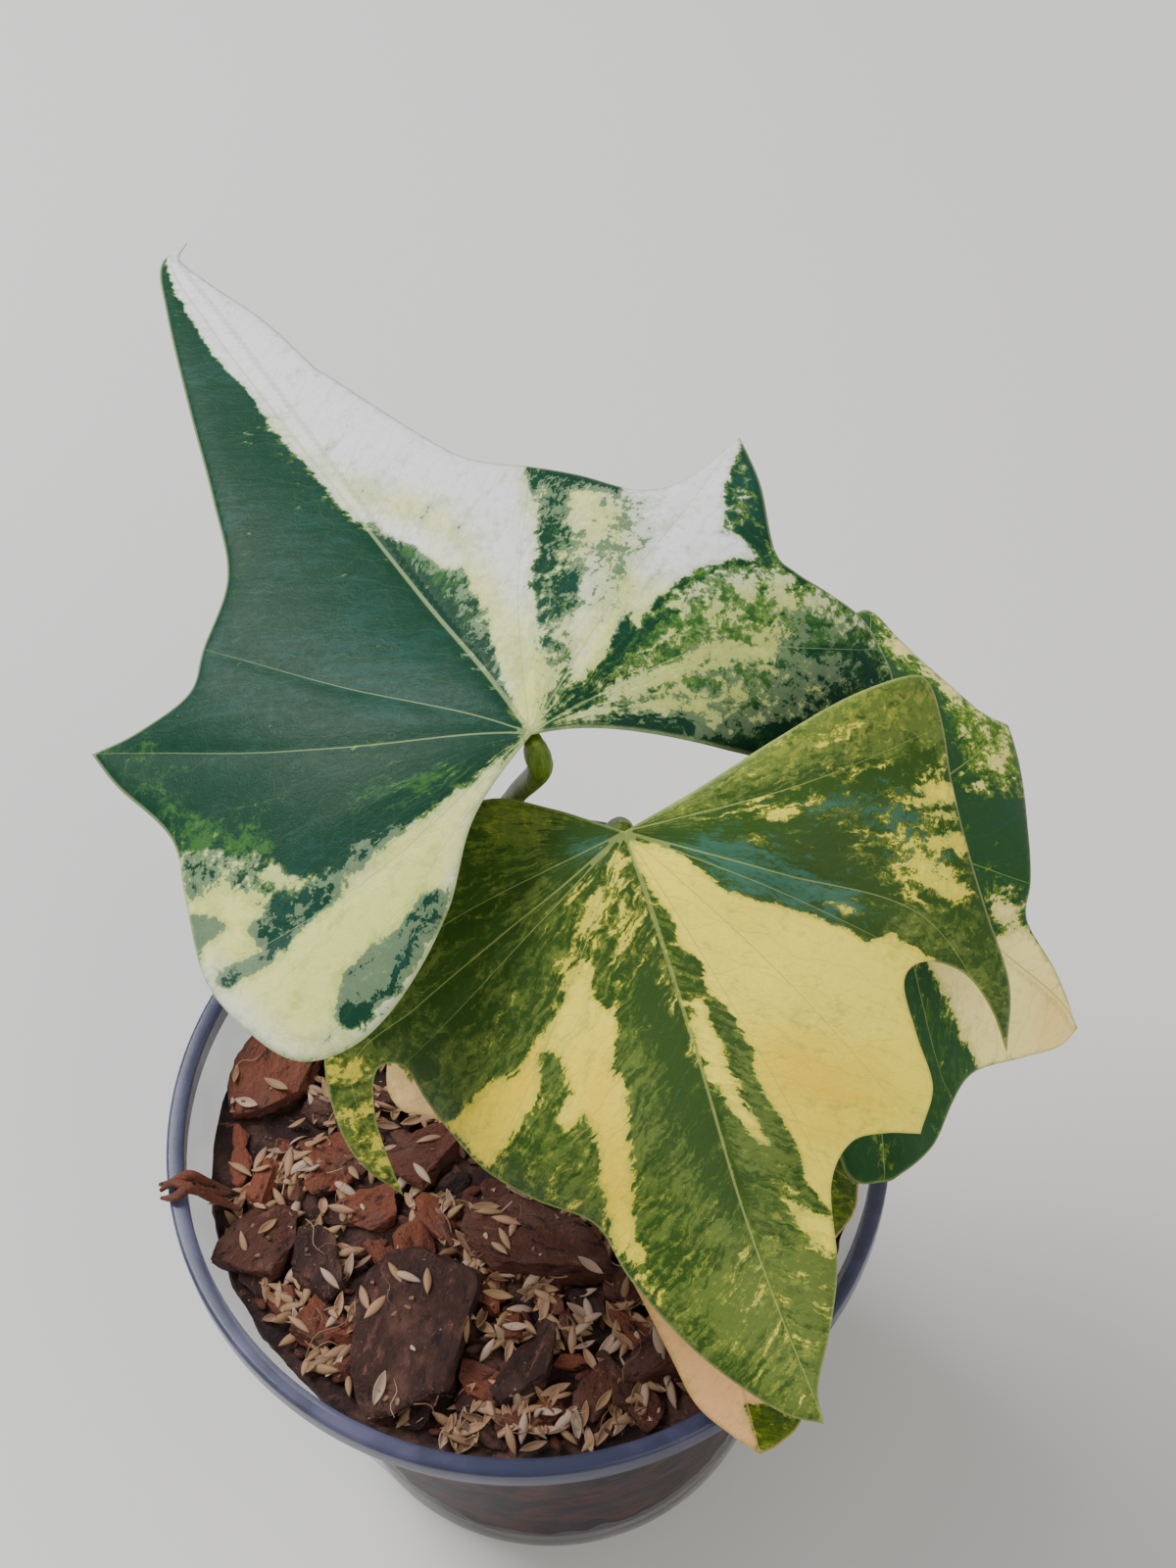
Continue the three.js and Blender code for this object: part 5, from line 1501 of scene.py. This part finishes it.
RIGHT_COLOURS = {
    "Cool": "#1f4a3c",
    "Dark": "#264a26",
    "Mid": "#3c641c",
    "Bright": "#8aa036",
    "Veil": "#a9b46a",
    "Pale": "#fff098",
    "Warm_pale": "#ffdc84",
    "Vein": "#8fa85c",
    "Underside": "#7f9258",
}
right_skin = leaf_skin("leaf_right_skin", RIGHT_COLOURS, Seed=5.0)
make_blade("right", RIGHT, right_skin)


# The leaf under the front one: small and pinkish cream, with a little green at its tip, which shows
# just past the rim.
UNDER = {
    "junction": (21.7, -2.9, 168),
    "heading": -73.9,
    "pitch": -29.4,
    "roll": 0,
    "seat": 0.8,
    "edge": [
        (-38, 16, -10), (-39, 31, -8), (-38, 40, -7), (-36, 44, -8), (-33, 49, -7),
        (-23, 55, -1), (-17, 67, 2), (-10, 81, 2), (-4, 85, 1), (0, 86, -2, TIP), (4, 81, -1),
        (9, 73, -1), (11, 62, -2), (14, 45, -2), (18, 31, -2), (26, 19, -2), (34, 12, -2),
        (41, 5, -6), (46, 2, -10), (47, -4, -15), (42, -12, -15), (30, -12, -8), (13, -8, -2),
        (0, 0, 0, TIP), (-12, 0, 0), (-26, 6, -5),
    ],
    "veins": [
        (3, (-18, 22, -1)),
        (9, (-1, 43, 2)),
        (14, (9, 16, 1)),
        (18, (23, 1, -3)),
    ],
    "vein_widths": [0.2, 0.4, 0.2, 0.2],
    "pale_ground": 0.3,
    "pale": [
        (1, 1.0, [(19, 22), (13, 41), (13, 49), (11, 62), (9, 74), (4, 82), (0, 86), (-1, 81),
            (0, 76), (-7, 76), (-7, 64), (-8, 44), (-3, 28)]),
        (0.1, 0.8, [(0, 76), (-3, 77), (-10, 83), (-4, 86), (0, 86), (0, 81)]),
        (0.1, 2, [(-30, 30), (-42, 34), (-34, 54), (-21, 55)]),
        (0.9, 2, [(46, -9), (39, 0), (40, 6), (45, 5), (48, -3)]),
    ],
    "tone_ground": 0.45,
    "tone": [],
    "warm_ground": 0.7,
    "warm": [
        (0.2, 4, [(48, -11), (32, -6), (37, 8), (51, 4)]),
    ],
    "thin_ground": 0.0,
    "thin": [],
}
UNDER_COLOURS = {
    "Cool": "#2a4418",
    "Dark": "#2f4410",
    "Mid": "#586a10",
    "Bright": "#96963a",
    "Veil": "#c0b070",
    "Pale": "#f2c48c",
    "Warm_pale": "#eab074",
    "Vein": "#c4a460",
    "Underside": "#b29860",
}
under_skin = leaf_skin("leaf_under_skin", UNDER_COLOURS, Seed=12.0)
make_blade("under", UNDER, under_skin)

# The stalks: smooth, round and olive green, grown out of the stem's sheaths. Each is met square by
# its leaf in a swollen, creased joint.
GAP = 0.3
KNEE = 8
STALK_DARK = "#3c5210"
STALK_GREEN = "#5c7420"
STALK_SPECK = "#8c9448"
SEATS = {"back": BACK, "front": FRONT, "right": RIGHT, "under": UNDER}

stalk_skin, shader = bare_material("stalk_skin", Specular_IOR_Level=0.2)
tree = stalk_skin.node_tree
place = object_place(tree)
stripes = add_node(tree, "ShaderNodeMapping", Vector=place, Scale=(1, 1, 0.12)).outputs[0]
lines = noise_of(tree, stripes, 900.0, 3.0)
speck = noise_of(tree, place, 1500.0, 3.0)
shade = blend_of(tree, step_of(tree, lines, 0.35, 0.65), paint(STALK_DARK), paint(STALK_GREEN))
shade = blend_of(tree, step_of(tree, speck, 0.66, 0.78), shade, paint(STALK_SPECK))
link(stalk_skin, shade, shader.inputs["Base Color"])
link(stalk_skin, sum_of(tree, "MULTIPLY_ADD", speck, 0.2, 0.35), shader.inputs["Roughness"])
bumped(stalk_skin, shader, lines, 0.4, 0.15)


def stalk_swell(share, turn):
    """A slight groove down one side of a stalk, and rings where its swollen joint creases."""
    crease = 0.03 * math.sin(share * 240) if share > 0.92 else 0
    return 1 - 0.06 * math.exp(-((turn - math.pi) / 0.5) ** 2) + crease


for name, leaf in SEATS.items():
    pose = leaf_frame(leaf)
    joint = [pose @ Vector((0, 0, -leaf["seat"] - depth)) for depth in (KNEE, KNEE / 2, 0)]
    path = [stalk_line(name, GAP), stalk_line(name, SHEATH), *STALKS[name][1:], *joint]
    thick = STALK_RADIUS + 0.4
    radii = [thick, *[STALK_RADIUS] * 3, thick, thick, 0.8 * STALK_RADIUS]
    stalk = mesh_object("stalk_" + name, *tube(path, radii, 20, 110, stalk_swell), [stalk_skin])
    stalk.data.shade_smooth()
    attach(stalk, "root")
    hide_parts("petiole_" + name)
